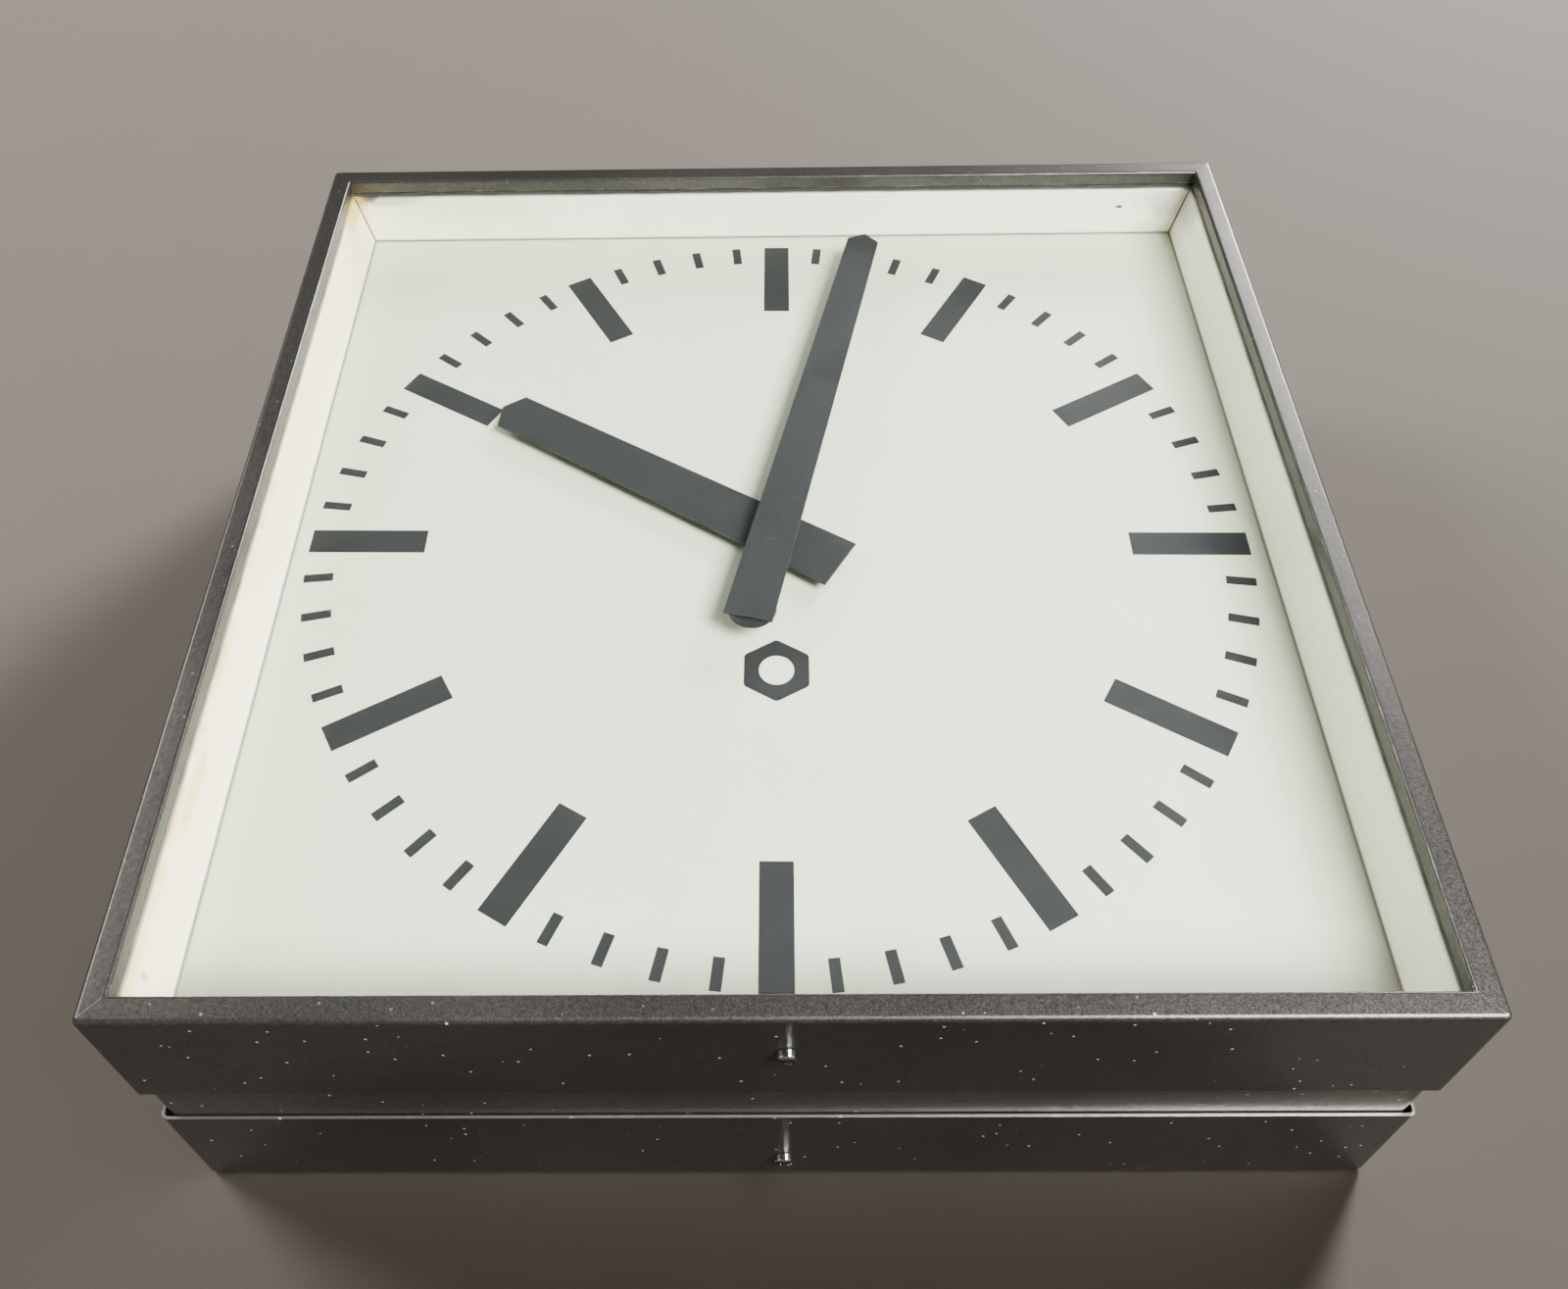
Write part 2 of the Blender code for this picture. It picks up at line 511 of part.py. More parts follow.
for i, (x, y) in enumerate(PILLARS, 1):
    a, b = RPLATE_FRONT + GAP, FPLATE_REAR - GAP
    turned("plate_pillar_%d" % i, [
        (0, FPLATE_FRONT), (0.002, FPLATE_FRONT), (0.002, b), (0.004, b), (0.004, a), (0.002, a),
        (0.002, RPLATE_REAR - 0.0036), (0, RPLATE_REAR - 0.0036)], BRASS, (x, 0, y), steps=16)
    nut = plate("plate_nut_%d" % i, [circle(0.0038, 6, (0, 0)), circle(0.002 + FIT, 12)],
                RPLATE_REAR - GAP - 0.0028, RPLATE_REAR - GAP)
    add("plate_nut_%d" % i, nut, ZINC, (x, 0, y))

# ---------------------------------------------------------------- rotor: ring magnet on an arbor with a pinion
rotor_loc = (0, 0, -ROTOR_DROP)
arbor = turned("rotor_arbor", [
    (0, FPLATE_FRONT), (ROTOR_ARBOR_R, FPLATE_FRONT), (ROTOR_ARBOR_R, RPLATE_REAR), (0, RPLATE_REAR)],
    STEEL, rotor_loc, steps=16)
boolean(arbor, plate("pinion", [gear(TEETH_ROTOR, MOD_CENTRE)], FPLATE_REAR - 0.005, FPLATE_REAR - 0.001),
        'UNION', rotor_loc)
turned("rotor_magnet", [
    (MAGNET_R, YOKE_REAR + YOKE_T - 0.001), (MAGNET_R, YOKE_REAR + 0.001),
    (ROTOR_ARBOR_R + FIT, YOKE_REAR + 0.001), (ROTOR_ARBOR_R + FIT, YOKE_REAR + YOKE_T - 0.001)],
    MAGNET, rotor_loc, steps=24, closed=True)

# ---------------------------------------------------------------- stator: U core, pole shoes, bobbin and winding
SHOE_TOP, SHOE_LOW, SHOE_GAP = rotor_at[1] + POLE_R + 0.0012, rotor_at[1] - POLE_R - 0.0022, 0.004
core_lo, core_hi = CORE_Z - CORE_H / 2, CORE_Z + CORE_H / 2
open_a = asin(SHOE_GAP / POLE_R)
left_arc = []
for k in range(11):
    a = (pi / 2 + open_a) + k * (pi - 2 * open_a) / 10
    left_arc.append((POLE_R * cos(a), rotor_at[1] + POLE_R * sin(a)))
left = [(0, core_lo), (-LEG_OUT, core_lo), (-LEG_OUT, SHOE_TOP), (-SHOE_GAP, SHOE_TOP)] + left_arc \
    + [(-SHOE_GAP, SHOE_LOW), (-LEG_IN, SHOE_LOW), (-LEG_IN, core_hi), (0, core_hi)]
outline = left[1:-1] + [(-x, y) for x, y in reversed(left[1:-1])]
add("stator_yoke", plate("stator_yoke", [outline] + holes(YOKE_SCREWS, 0.0016), YOKE_REAR, YOKE_REAR + YOKE_T), IRON)
for i, (x, y) in enumerate(YOKE_SCREWS):
    z0 = RPLATE_REAR - GAP
    turned("yoke_screw_" + ("left", "right")[i], [
        (0, z0 + 0.008), (0.0014, z0 + 0.008), (0.0014, z0), (0.0028, z0), (0.0028, z0 - 0.0018), (0, z0 - 0.0018)],
        ZINC, (x, 0, y), steps=14)
core_d = YOKE_REAR + YOKE_T / 2
bob_x = LEG_IN - GAP
wall = 0.0011
tube_x, tube_y = CORE_H / 2 + GAP, YOKE_T / 2 + GAP
flange = BOBBIN_H - max(tube_x, tube_y)
ALONG_X = (0, pi / 2, 0)
add("coil_bobbin", rect_ring("coil_bobbin", tube_x, tube_y, [
    (flange, bob_x), (flange, bob_x - 0.0015), (wall, bob_x - 0.0015), (wall, -bob_x + 0.0015),
    (flange, -bob_x + 0.0015), (flange, -bob_x), (0, -bob_x), (0, bob_x)]), NYLON,
    (0, -core_d, CORE_Z), ALONG_X)
add("coil_winding", rect_ring("coil_winding", tube_x, tube_y, [
    (flange - 0.001, bob_x - 0.0018), (flange - 0.001, -bob_x + 0.0018), (wall + GAP, -bob_x + 0.0018),
    (wall + GAP, bob_x - 0.0018)]), COPPER, (0, -core_d, CORE_Z), ALONG_X)

# ---------------------------------------------------------------- centre arbor, wheel and cannon pinion
turned("centre_arbor", [
    (0, MINUTE_D - 0.002), (ARBOR_R, MINUTE_D - 0.002), (ARBOR_R, RPLATE_REAR - 0.001), (0, RPLATE_REAR - 0.001)], STEEL, steps=20)
centre = add("centre_wheel", plate("centre_wheel", [gear(TEETH_CENTRE, MOD_CENTRE, 0.0, 0.8, 1.2),
                                                    circle(ARBOR_R + FIT, 20)]
                                   + [circle(0.0075, 16, (0.0185 * cos(a), 0.0185 * sin(a)))
                                      for a in (pi / 4, 3 * pi / 4, 5 * pi / 4, 7 * pi / 4)],
                                   FPLATE_REAR - 0.0037, FPLATE_REAR - 0.0022), BRASS)
CANNON_REAR, CANNON_FRONT = FPLATE_FRONT + 0.0006, MINUTE_D - 0.0025
cannon = turned("cannon_pinion", [
    (CANNON_R, CANNON_FRONT), (CANNON_R, CANNON_REAR), (ARBOR_R + FIT, CANNON_REAR), (ARBOR_R + FIT, CANNON_FRONT)],
    STEEL, steps=20, closed=True)
boolean(cannon, plate("leaves", [gear(TEETH_CANNON, MOD_CANNON), circle(ARBOR_R + 2.5 * FIT, 20)],
                      CANNON_REAR + 0.0008, CANNON_REAR + 0.0045), 'UNION')

# ---------------------------------------------------------------- minute wheel on its post, hour wheel on the cannon
MW_D = CANNON_REAR + 0.0014
turned("minute_wheel_post", [
    (0, MW_D + 0.0086), (0.0019, MW_D + 0.0086), (0.0019, MW_D + 0.0076), (0.0012, MW_D + 0.0076),
    (0.0012, FPLATE_REAR), (0, FPLATE_REAR)], STEEL, (POST_X, 0, 0), steps=14)
post_bore = circle(0.0012 + RUN, 18)
mwheel = add("minute_wheel", plate("minute_wheel", [gear(TEETH_MINUTE, MOD_CANNON, pi / TEETH_MINUTE), post_bore],
                                   MW_D, MW_D + 0.0018), BRASS, (POST_X, 0, 0))
boolean(mwheel, plate("leaves", [gear(TEETH_MPINION, MOD_HOUR, pi / TEETH_MPINION),
                                 circle(0.0012 + RUN + 0.0001, 18)], MW_D + 0.0009, MW_D + 0.0070), 'UNION',
        (POST_X, 0, 0))
HW_D = MW_D + 0.0040
PIPE_FRONT = HOUR_D + 0.0020
hwheel = turned("hour_wheel", [
    (PIPE_R, PIPE_FRONT), (PIPE_R, HW_D - 0.0004), (CANNON_R + RUN, HW_D - 0.0004), (CANNON_R + RUN, PIPE_FRONT)],
    BRASS, steps=24, closed=True)
boolean(hwheel, plate("teeth", [gear(TEETH_HOUR, MOD_HOUR), circle(0.0030, 24)], HW_D, HW_D + 0.0018), 'UNION')


# ---------------------------------------------------------------- hands
def hand_outline(tip, shoulder, tail, w_tip, w_tail):
    return [(0, tip), (-w_tip, shoulder), (-w_tail, -tail), (w_tail, -tail), (w_tip, shoulder)]


def clockwise(mesh, deg):
    mesh.transform(Matrix.Rotation(-radians(deg), 4, 'Z'))
    return mesh


add("hour_hand", clockwise(plate("hour_hand", [
    hand_outline(HOUR_TIP, HOUR_SHOULDER, HOUR_TAIL, HOUR_TIP_W, HOUR_TAIL_W), circle(PIPE_R + FIT + 0.0012, 24)],
    HOUR_D, HOUR_D + HAND_T), HOUR_DEG), HANDM)
turned("hour_hand_boss", [
    (PIPE_R + FIT + 0.0009, HOUR_D + HAND_T), (PIPE_R + FIT + 0.0009, HOUR_D - GAP), (0.0070, HOUR_D - GAP),
    (0.0070, DIAL_FACE + 0.0011), (PIPE_R + FIT, DIAL_FACE + 0.0011), (PIPE_R + FIT, HOUR_D + HAND_T)], BRASS, steps=24, closed=True)
add("minute_hand", clockwise(plate("minute_hand", [
    hand_outline(MIN_TIP, MIN_SHOULDER, MIN_TAIL, MIN_TIP_W, MIN_TAIL_W)], MINUTE_D, MINUTE_D + HAND_T),
    MINUTE_DEG), HANDM)
turned("minute_hand_boss", [
    (0, MINUTE_D - GAP), (0.0065, MINUTE_D - GAP), (0.0065, PIPE_FRONT + 0.0011),
    (CANNON_R + FIT, PIPE_FRONT + 0.0011), (CANNON_R + FIT, MINUTE_D - 0.0016), (0, MINUTE_D - 0.0016)], BRASS, steps=24)
weight_at = MIN_TAIL + 0.0024 - WEIGHT_R
add("minute_counterweight", clockwise(rod("minute_counterweight", WEIGHT_R, MINUTE_D - GAP - WEIGHT_T,
                                          MINUTE_D - GAP, 32, (0, -weight_at)), MINUTE_DEG), LEAD)

# ---------------------------------------------------------------- terminal block and the coil's two leads
block = add("terminal_block", box("terminal_block", (-TERM_W / 2, -TERM_HH, TERM_REAR),
                                  (TERM_W / 2, TERM_HH, BRIDGE_REAR - GAP)), BAKELITE, (TERM_X, 0, 0))
for i, sx in enumerate((-1, 1)):
    x = TERM_X + sx * TERM_PITCH / 2
    boolean(block, rod("well", 0.0034, TERM_REAR - 0.002, TERM_REAR + 0.0035, 16), loc=(x, 0, 0))
    boolean(block, rod("thread", 0.0019, TERM_REAR, TERM_REAR + 0.0105, 12), loc=(x, 0, 0))
    top = TERM_REAR + 0.0035 - GAP
    turned("terminal_screw_%d" % (i + 1), [
        (0, TERM_REAR + 0.0095), (0.0016, TERM_REAR + 0.0095), (0.0016, top), (0.0030, top),
        (0.0030, TERM_REAR + 0.0006), (0, TERM_REAR + 0.0006)], BRASS, (x, 0, 0), steps=14)
coil_front = core_d + tube_y + flange - 0.001
LEAD_R = 0.0008
entry = [TERM_REAR + 0.0030, TERM_REAR + 0.0065]
x = TERM_X - TERM_PITCH / 2
wire("coil_lead_1", [(0.010, CORE_Z + 0.001, coil_front + 0.0013), (0.018, CORE_Z - 0.003, FPLATE_REAR - 0.005),
                     (0.045, CORE_Z + 0.003, FPLATE_REAR + 0.002), (x - 0.006, -0.055, TERM_REAR - 0.003),
                     (x, -0.026, TERM_REAR - 0.002), (x, -0.014, entry[0]),
                     (x, -TERM_HH - 0.0012, entry[1])], LEAD_R, PVC)
x = TERM_X + TERM_PITCH / 2
wire("coil_lead_2", [(0.002, CORE_Z + 0.001, coil_front + 0.0013), (0.014, CORE_Z - 0.011, FPLATE_REAR - 0.004),
                     (0.048, CORE_Z - 0.007, FPLATE_REAR + 0.003), (x - 0.006, -0.062, TERM_REAR - 0.002),
                     (x, -0.028, TERM_REAR - 0.002), (x, -0.014, entry[0]),
                     (x, -TERM_HH - 0.0012, entry[1])], LEAD_R, PVC)

# ---------------------------------------------------------------- cover: skirt, front flange, lip, glass and bead
cover = add("cover_frame", sheet_square("cover_frame", [
    (COVER_H - 0.0020, FRONT), (COVER_H - 0.0006, FRONT - 0.0006), (COVER_H, FRONT - 0.0020), (COVER_H, SKIRT_REAR),
    (COVER_IN, SKIRT_REAR), (COVER_IN, FRONT - 0.0020), (COVER_H - 0.0020, FRONT - SHEET),
    (LIP_IN + SHEET, FRONT - SHEET), (LIP_IN + SHEET, FRONT - LIP_DEPTH), (LIP_IN, FRONT - LIP_DEPTH),
    (LIP_IN, FRONT - 0.0014), (LIP_IN + 0.0004, FRONT - 0.0004), (LIP_IN + 0.0014, FRONT)],
    COVER_H, CORNER_R), GREY)
for s in (-1, 1):
    boolean(cover, rod("screw_hole", SCREW_R + 0.0003, COVER_H - 0.004, COVER_H + 0.004, 16),
            loc=(0, -COVER_SCREW_D, 0), rot=(0 if s > 0 else pi, 0, 0))
glass_sq = [(GLASS_H, -GLASS_H), (GLASS_H, GLASS_H), (-GLASS_H, GLASS_H), (-GLASS_H, -GLASS_H)]
add("cover_glass", plate("cover_glass", [glass_sq], GLASS_REAR, GLASS_FRONT), GLASSM)
bead_out, bead_in = COVER_IN - GAP, LIP_IN + 0.0013
add("glazing_bead", sheet_square("glazing_bead", [
    (bead_out, BEAD_FRONT), (bead_out, BEAD_FRONT - BEAD_T), (bead_in, BEAD_FRONT - BEAD_T), (bead_in, BEAD_FRONT)],
    bead_out, CORNER_R - SHEET), BEADM)
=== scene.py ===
"""Finishes the square wall clock: builds its visible sheet metal, dial print, hands and screws around the
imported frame, and gives every piece a worn, procedural finish.

Frame: X to the right, Z up, the dial faces -Y, and the wall is the plane Y = 0. Everything is in metres.
"""

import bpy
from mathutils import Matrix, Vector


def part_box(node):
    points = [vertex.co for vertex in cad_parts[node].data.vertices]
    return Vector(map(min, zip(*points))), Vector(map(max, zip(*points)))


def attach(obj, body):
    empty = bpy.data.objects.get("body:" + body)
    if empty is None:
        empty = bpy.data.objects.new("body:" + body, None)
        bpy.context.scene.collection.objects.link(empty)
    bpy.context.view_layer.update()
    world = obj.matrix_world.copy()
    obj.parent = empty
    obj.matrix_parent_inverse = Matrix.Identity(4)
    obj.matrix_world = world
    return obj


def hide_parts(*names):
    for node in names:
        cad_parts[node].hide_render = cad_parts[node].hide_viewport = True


bl_info = {
    "name": "Square Wall Clock",
    "version": (1, 0, 0),
    "blender": (4, 5, 0),
    "location": "View3D > Sidebar > Wall Clock",
    "description": "Builds the visible pieces and finishes of a square sheet-steel wall clock",
    "category": "Object",
}

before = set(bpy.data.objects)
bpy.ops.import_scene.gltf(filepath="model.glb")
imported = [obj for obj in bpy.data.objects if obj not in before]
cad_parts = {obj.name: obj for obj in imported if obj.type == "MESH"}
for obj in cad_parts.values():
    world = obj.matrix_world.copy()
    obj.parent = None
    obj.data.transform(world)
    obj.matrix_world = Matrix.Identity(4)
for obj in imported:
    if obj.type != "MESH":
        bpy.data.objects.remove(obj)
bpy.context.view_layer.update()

from math import cos, pi, radians, sin

import bmesh
import bpy
from bpy.props import FloatProperty, FloatVectorProperty, PointerProperty
from mathutils import Matrix, Vector


# ---------------------------------------------------------------- sizes read from the frame
def depth_of(node):
    """(rear, front) of a node, as distances ahead of the wall."""
    low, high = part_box(node)
    return -high.y, -low.y


COVER_REAR, COVER_FRONT = depth_of("cover_frame")
TRAY_REAR, TRAY_FRONT = depth_of("wall_tray")
CASE_REAR, CASE_FRONT = depth_of("case_body")
DIAL_FRONT = depth_of("dial_plate")[1]
STRIP_REAR, STRIP_FRONT = depth_of("reflector_top")
HOUR_REAR, HOUR_FRONT = depth_of("hour_hand")
MINUTE_REAR, MINUTE_FRONT = depth_of("minute_hand")
COVER_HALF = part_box("cover_frame")[1].x
TRAY_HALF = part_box("wall_tray")[1].x
CASE_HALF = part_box("case_body")[1].x
STRIP_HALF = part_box("reflector_right")[1].x
CABLE_HOLE = (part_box("cable_grommet")[0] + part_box("cable_grommet")[1]) / 2
TRAY_SCREW = sum(depth_of("tray_screw_top")) / 2
COVER_SCREW = sum(depth_of("cover_screw_top")) / 2


# ---------------------------------------------------------------- colours and settings a user would change
def screen(red, green, blue):
    """A colour given as 0 to 255 screen values, as the linear values that Blender keeps."""
    return tuple(c / 3294.6 if c <= 10.3 else ((c / 255 + 0.055) / 1.055) ** 2.4 for c in (red, green, blue))


def size(name, description, default):
    return FloatProperty(name=name, description=description, default=default, min=0.0, unit='LENGTH',
                         precision=5)


def number(name, description, default):
    return FloatProperty(name=name, description=description, default=default, min=0.0)


def turn(name, description, degrees):
    return FloatProperty(name=name, description=description, default=radians(degrees), unit='ROTATION')


def colour(name, description, default):
    return FloatVectorProperty(name=name, description=description, default=default, subtype='COLOR',
                               min=0.0, max=1.0)


class ShellSizes(bpy.types.PropertyGroup):
    """Sizes of the three sheet-steel shells: cover, case wall and tray."""
    sheet: size("Sheet", "Thickness of the steel sheet", 0.001)
    corner: size("Upright Corner", "Outer radius of the corners of cover and tray", 0.0025)
    case_corner: size("Case Corner", "Outer radius of the corners of the case wall", 0.0045)
    front_edge: size("Front Edge", "Radius of the cover's outer front edge", 0.0020)
    lip_edge: size("Lip Edge", "Radius where the front flange turns back towards the glass", 0.0014)
    lip_width: size("Lip Width", "Width of the cover's front flange", 0.0094)
    lip_depth: size("Lip Depth", "Depth of the lip that turns back towards the glass", 0.0066)
    rim: size("Rim", "Softening of cut sheet edges", 0.0002)
    tray_edge: size("Tray Edge", "Radius where the tray's wall meets its back", 0.0018)
    screw_hole: size("Screw Hole", "Radius of the side screws' holes", 0.00225)
    slot: size("Slot", "Width of the case wall's open slots and of the keyholes' slots", 0.0052)
    key_across: size("Keyhole Across", "Half the distance between the two keyholes", 0.150)
    key_height: size("Keyhole Height", "Height of the keyholes above the clock's centre", 0.155)
    key_head: size("Keyhole Head", "Radius of the round end of a keyhole", 0.0055)
    key_slot: size("Keyhole Slot", "How far a keyhole's slot rises above its round end's centre", 0.0160)
    foot_drop: size("Foot Hole Drop", "How far the foot hole is below the clock's centre", 0.178)
    cable_hole: size("Cable Hole", "Radius of the cable hole in the tray", 0.011)
    head: size("Screw Head", "Radius of the side screws' heads", 0.0035)
    head_height: size("Screw Head Height", "Height of the side screws' heads", 0.0028)
    head_edge: size("Screw Head Edge", "Rounding of the side screws' heads", 0.0012)
    shank: size("Screw Shank", "Radius of the side screws' shanks", 0.00195)


class DialSizes(bpy.types.PropertyGroup):
    """Sizes of the printed marks and of the reflector strips round the dial."""
    ring: size("Mark Ring", "Outer radius of the hour and minute marks", 0.2000)
    hour_length: size("Hour Length", "Length of an hour mark", 0.0498)
    hour_width: size("Hour Width", "Width of an hour mark", 0.0125)
    minute_length: size("Minute Length", "Length of a minute mark", 0.0124)
    minute_width: size("Minute Width", "Width of a minute mark", 0.00426)
    film: size("Ink Film", "Thickness of the printed ink", 0.00003)
    set_turn: turn("Dial Turn", "How far the dial is set clockwise in its case", 0.82)
    emblem: size("Emblem", "Radius of the plain hexagon below the centre", 0.0150)
    emblem_drop: size("Emblem Drop", "How far the hexagon's centre is below the dial's centre", 0.0665)
    emblem_hole: size("Emblem Hole", "Radius of the hexagon's round hole", 0.0070)
    foot_side: size("Side Foot", "Half width between the left and right strips at the dial", 0.2069)
    foot_top: size("Top Foot", "Half height between the top and bottom strips at the dial", 0.2092)
    bend: size("Bend", "Half width at the bend of the strips", 0.2134)
    bend_radius: size("Bend Radius", "Radius of the bend of the strips", 0.0012)
    strip_sheet: size("Strip Sheet", "Thickness of the strips", 0.0006)
    mitre: size("Mitre", "Half the gap of a mitred corner", 0.00015)


class HandSizes(bpy.types.PropertyGroup):
    """Outlines of the two hands and their places at rest."""
    hour_angle: turn("Hour Angle", "The hour hand at rest, clockwise from twelve", 302.2)
    hour_tip: size("Hour Tip", "Centre to the hour hand's tip", 0.1475)
    hour_shoulder: size("Hour Shoulder", "Centre to the hour hand's shoulders", 0.1424)
    hour_tail: size("Hour Tail", "Centre to the hour hand's tail end", 0.0312)
    hour_narrow: size("Hour Narrow", "Half width at the hour hand's shoulders", 0.0106)
    hour_wide: size("Hour Wide", "Half width at the hour hand's tail", 0.0129)
    minute_angle: turn("Minute Angle", "The minute hand at rest, clockwise from twelve", 13.8)
    minute_tip: size("Minute Tip", "Centre to the minute hand's tip", 0.1990)
    minute_shoulder: size("Minute Shoulder", "Centre to the minute hand's shoulders", 0.1940)
    minute_tail: size("Minute Tail", "Centre to the minute hand's tail end", 0.0515)
    minute_narrow: size("Minute Narrow", "Half width at the minute hand's shoulders", 0.00775)
    minute_wide: size("Minute Wide", "Half width at the minute hand's tail", 0.01015)
    pipe_hole: size("Pipe Hole", "Radius of the hour hand's hole", 0.0049)
    edge: size("Hand Edge", "Softening of the hands' cut edges", 0.00012)


class ClockColours(bpy.types.PropertyGroup):
    """Colours of the clock's finishes."""
    grey: colour("Hammered Grey", "Metallic grey enamel of tray, case and cover", screen(68, 66, 63))
    bare: colour("Bare Steel", "Steel where the enamel is rubbed away", screen(176, 168, 160))
    cream: colour("Cream Enamel", "Enamel of the strips round the dial", screen(252, 249, 226))
    aged: colour("Aged Enamel", "Yellowed enamel along the bends", screen(216, 180, 70))
    rust: colour("Rust", "Rusty stain in the corners", screen(48, 27, 6))
    dial: colour("Dial", "Pale enamel of the dial", screen(190, 199, 172))
    ink: colour("Ink", "Print on the dial", screen(26, 28, 28))
    hand: colour("Hands", "Matt enamel of the hands", screen(26, 28, 28))
    brass: colour("Brass", "Plates, wheels and bosses", screen(196, 160, 92))
    steel: colour("Bright Steel", "Plated screws and arbors", screen(176, 176, 172))
    zinc: colour("Zinc", "Zinc plated frames, nuts and small screws", screen(172, 174, 166))
    glass: colour("Glass", "Tint of the glass", (0.985, 0.995, 0.99))


class StageSettings(bpy.types.PropertyGroup):
    """Backdrop, lamps and camera."""
    wall: colour("Wall", "Colour of the plain wall behind the clock", screen(124, 116, 106))
    floor: colour("Floor", "Colour of the plain floor below it", screen(112, 105, 97))
    dome: number("Dome", "Strength of the soft light all round", 2.0)
    key: number("Key", "Power of the lamp above and to the right", 290.0)
    front: number("Front", "Power of the low lamp in front", 400.0)
    fill: number("Fill", "Power of the lamp at the left", 80.0)
    rear: number("Rear", "Power of the lamp behind the clock", 90.0)
    eye: FloatVectorProperty(name="Eye", description="Place of the camera", subtype='TRANSLATION',
                             unit='LENGTH', default=(-0.00772, -0.57950, -0.39749), precision=5)
    lens: number("Lens", "Focal length on a 36 mm sensor, in millimetres", 32.951)


class ClockSettings(bpy.types.PropertyGroup):
    """All settings of the clock."""
    shell: PointerProperty(type=ShellSizes, name="Shells", description="Sizes of the sheet-steel shells")
    dial: PointerProperty(type=DialSizes, name="Dial", description="Sizes of the dial's print and strips")
    hands: PointerProperty(type=HandSizes, name="Hands", description="Outlines of the hands")
    colours: PointerProperty(type=ClockColours, name="Colours", description="Colours of the finishes")
    stage: PointerProperty(type=StageSettings, name="Stage", description="Backdrop, lamps and camera")


def settings():
    return bpy.context.scene.wall_clock


# ---------------------------------------------------------------- modelling helpers
def only(ob):
    """Selects this object and nothing else, and makes it the active one."""
    bpy.ops.object.select_all(action='DESELECT')
    ob.select_set(True)
    bpy.context.view_layer.objects.active = ob
    return ob


def new_piece(name):
    """Names the primitive just added and puts its place into its mesh."""
    ob = only(bpy.context.object)
    ob.name = ob.data.name = name
    bpy.ops.object.transform_apply(location=True, rotation=True, scale=True)
    return ob


def add_cube(name, low, high):
    low, high = Vector(low), Vector(high)
    bpy.ops.object.select_all(action='DESELECT')
    bpy.ops.mesh.primitive_cube_add(size=1, location=(low + high) / 2, scale=high - low)
    return new_piece(name)


def add_cylinder(name, radius, place, length, axis='Y', sides=48):
    bpy.ops.object.select_all(action='DESELECT')
    rotation = {'X': (0, pi / 2, 0), 'Y': (pi / 2, 0, 0), 'Z': (0, 0, 0)}[axis]
    bpy.ops.mesh.primitive_cylinder_add(vertices=sides, radius=radius, depth=length, location=place,
                                        rotation=rotation)
    return new_piece(name)


def edit(ob):
    only(ob)
    bpy.ops.object.mode_set(mode='EDIT')
    bpy.ops.mesh.select_all(action='DESELECT')


def leave_edit():
    bpy.ops.object.mode_set(mode='OBJECT')


def middle(element):
    """The middle of a vertex, an edge or a face."""
    if isinstance(element, bmesh.types.BMVert):
        return element.co
    return sum((v.co for v in element.verts), Vector()) / len(element.verts)


def pick(kind, test):
    """In edit mode, selects the vertices, edges or faces that pass the test, and nothing else."""
    bpy.ops.mesh.select_mode(type=kind)
    bpy.ops.mesh.select_all(action='DESELECT')
    mesh = bpy.context.object.data
    cage = bmesh.from_edit_mesh(mesh)
    for element in {'VERT': cage.verts, 'EDGE': cage.edges, 'FACE': cage.faces}[kind]:
        if test(element):
            element.select_set(True)
    cage.select_flush_mode()
    bmesh.update_edit_mesh(mesh)


def near(a, b, within=0.00005):
    return abs(a - b) < within


def faces_towards(axis, sign):
    return lambda f: f.normal[axis] * sign > 0.9


def runs_along(edge, axis):
    a, b = (v.co for v in edge.verts)
    return (b - a).length > 0 and abs((b - a)[axis]) > 0.99 * (b - a).length


def round_edges(test, radius, segments):
    """Rounds the edges that pass the test."""
    pick('EDGE', test)
    bpy.ops.mesh.bevel(offset=radius, segments=segments, affect='EDGES', profile=0.5, clamp_overlap=False)


def round_piece(ob, test, radius, segments):
    """The same on a piece that isn't in edit mode."""
    edit(ob)
    round_edges(test, radius, segments)
    leave_edit()


def fit_modifier(ob, kind, **values):
    """Adds a modifier with these values and applies it."""
    only(ob)
    modifier = ob.modifiers.new(kind.lower(), kind)
    for key, value in values.items():
        setattr(modifier, key, value)
    bpy.ops.object.modifier_apply(modifier=modifier.name)


def cut(ob, *cutters):
    """Cuts each closed cutter out of the piece, and removes the cutters."""
    for cutter in cutters:
        fit_modifier(ob, 'BOOLEAN', operation='DIFFERENCE', object=cutter, solver='EXACT')
        bpy.data.objects.remove(cutter, do_unlink=True)


def soften(ob, width, segments=2, angle=35):
    """Softens every edge sharper than the angle."""
    fit_modifier(ob, 'BEVEL', width=width, segments=segments, limit_method='ANGLE',
                 angle_limit=radians(angle), use_clamp_overlap=True)


def smooth(ob, angle=35):
    """Smooth shading, with flat faces kept flat beside their rounded edges."""
    only(ob)
    bpy.ops.object.shade_smooth_by_angle(angle=radians(angle))
    fit_modifier(ob, 'WEIGHTED_NORMAL', weight=100, keep_sharp=True)


def copy_of(ob, name, turn_matrix):
    """A copy with its own mesh, turned in place."""
    twin = ob.copy()
    twin.data = ob.data.copy()
    twin.name = twin.data.name = name
    twin.data.transform(turn_matrix)
    bpy.context.scene.collection.objects.link(twin)
    return twin


def join(pieces, name):
    bpy.ops.object.select_all(action='DESELECT')
    for ob in pieces:
        ob.select_set(True)
    bpy.context.view_layer.objects.active = pieces[0]
    bpy.ops.object.join()
    pieces[0].name = pieces[0].data.name = name
    return pieces[0]


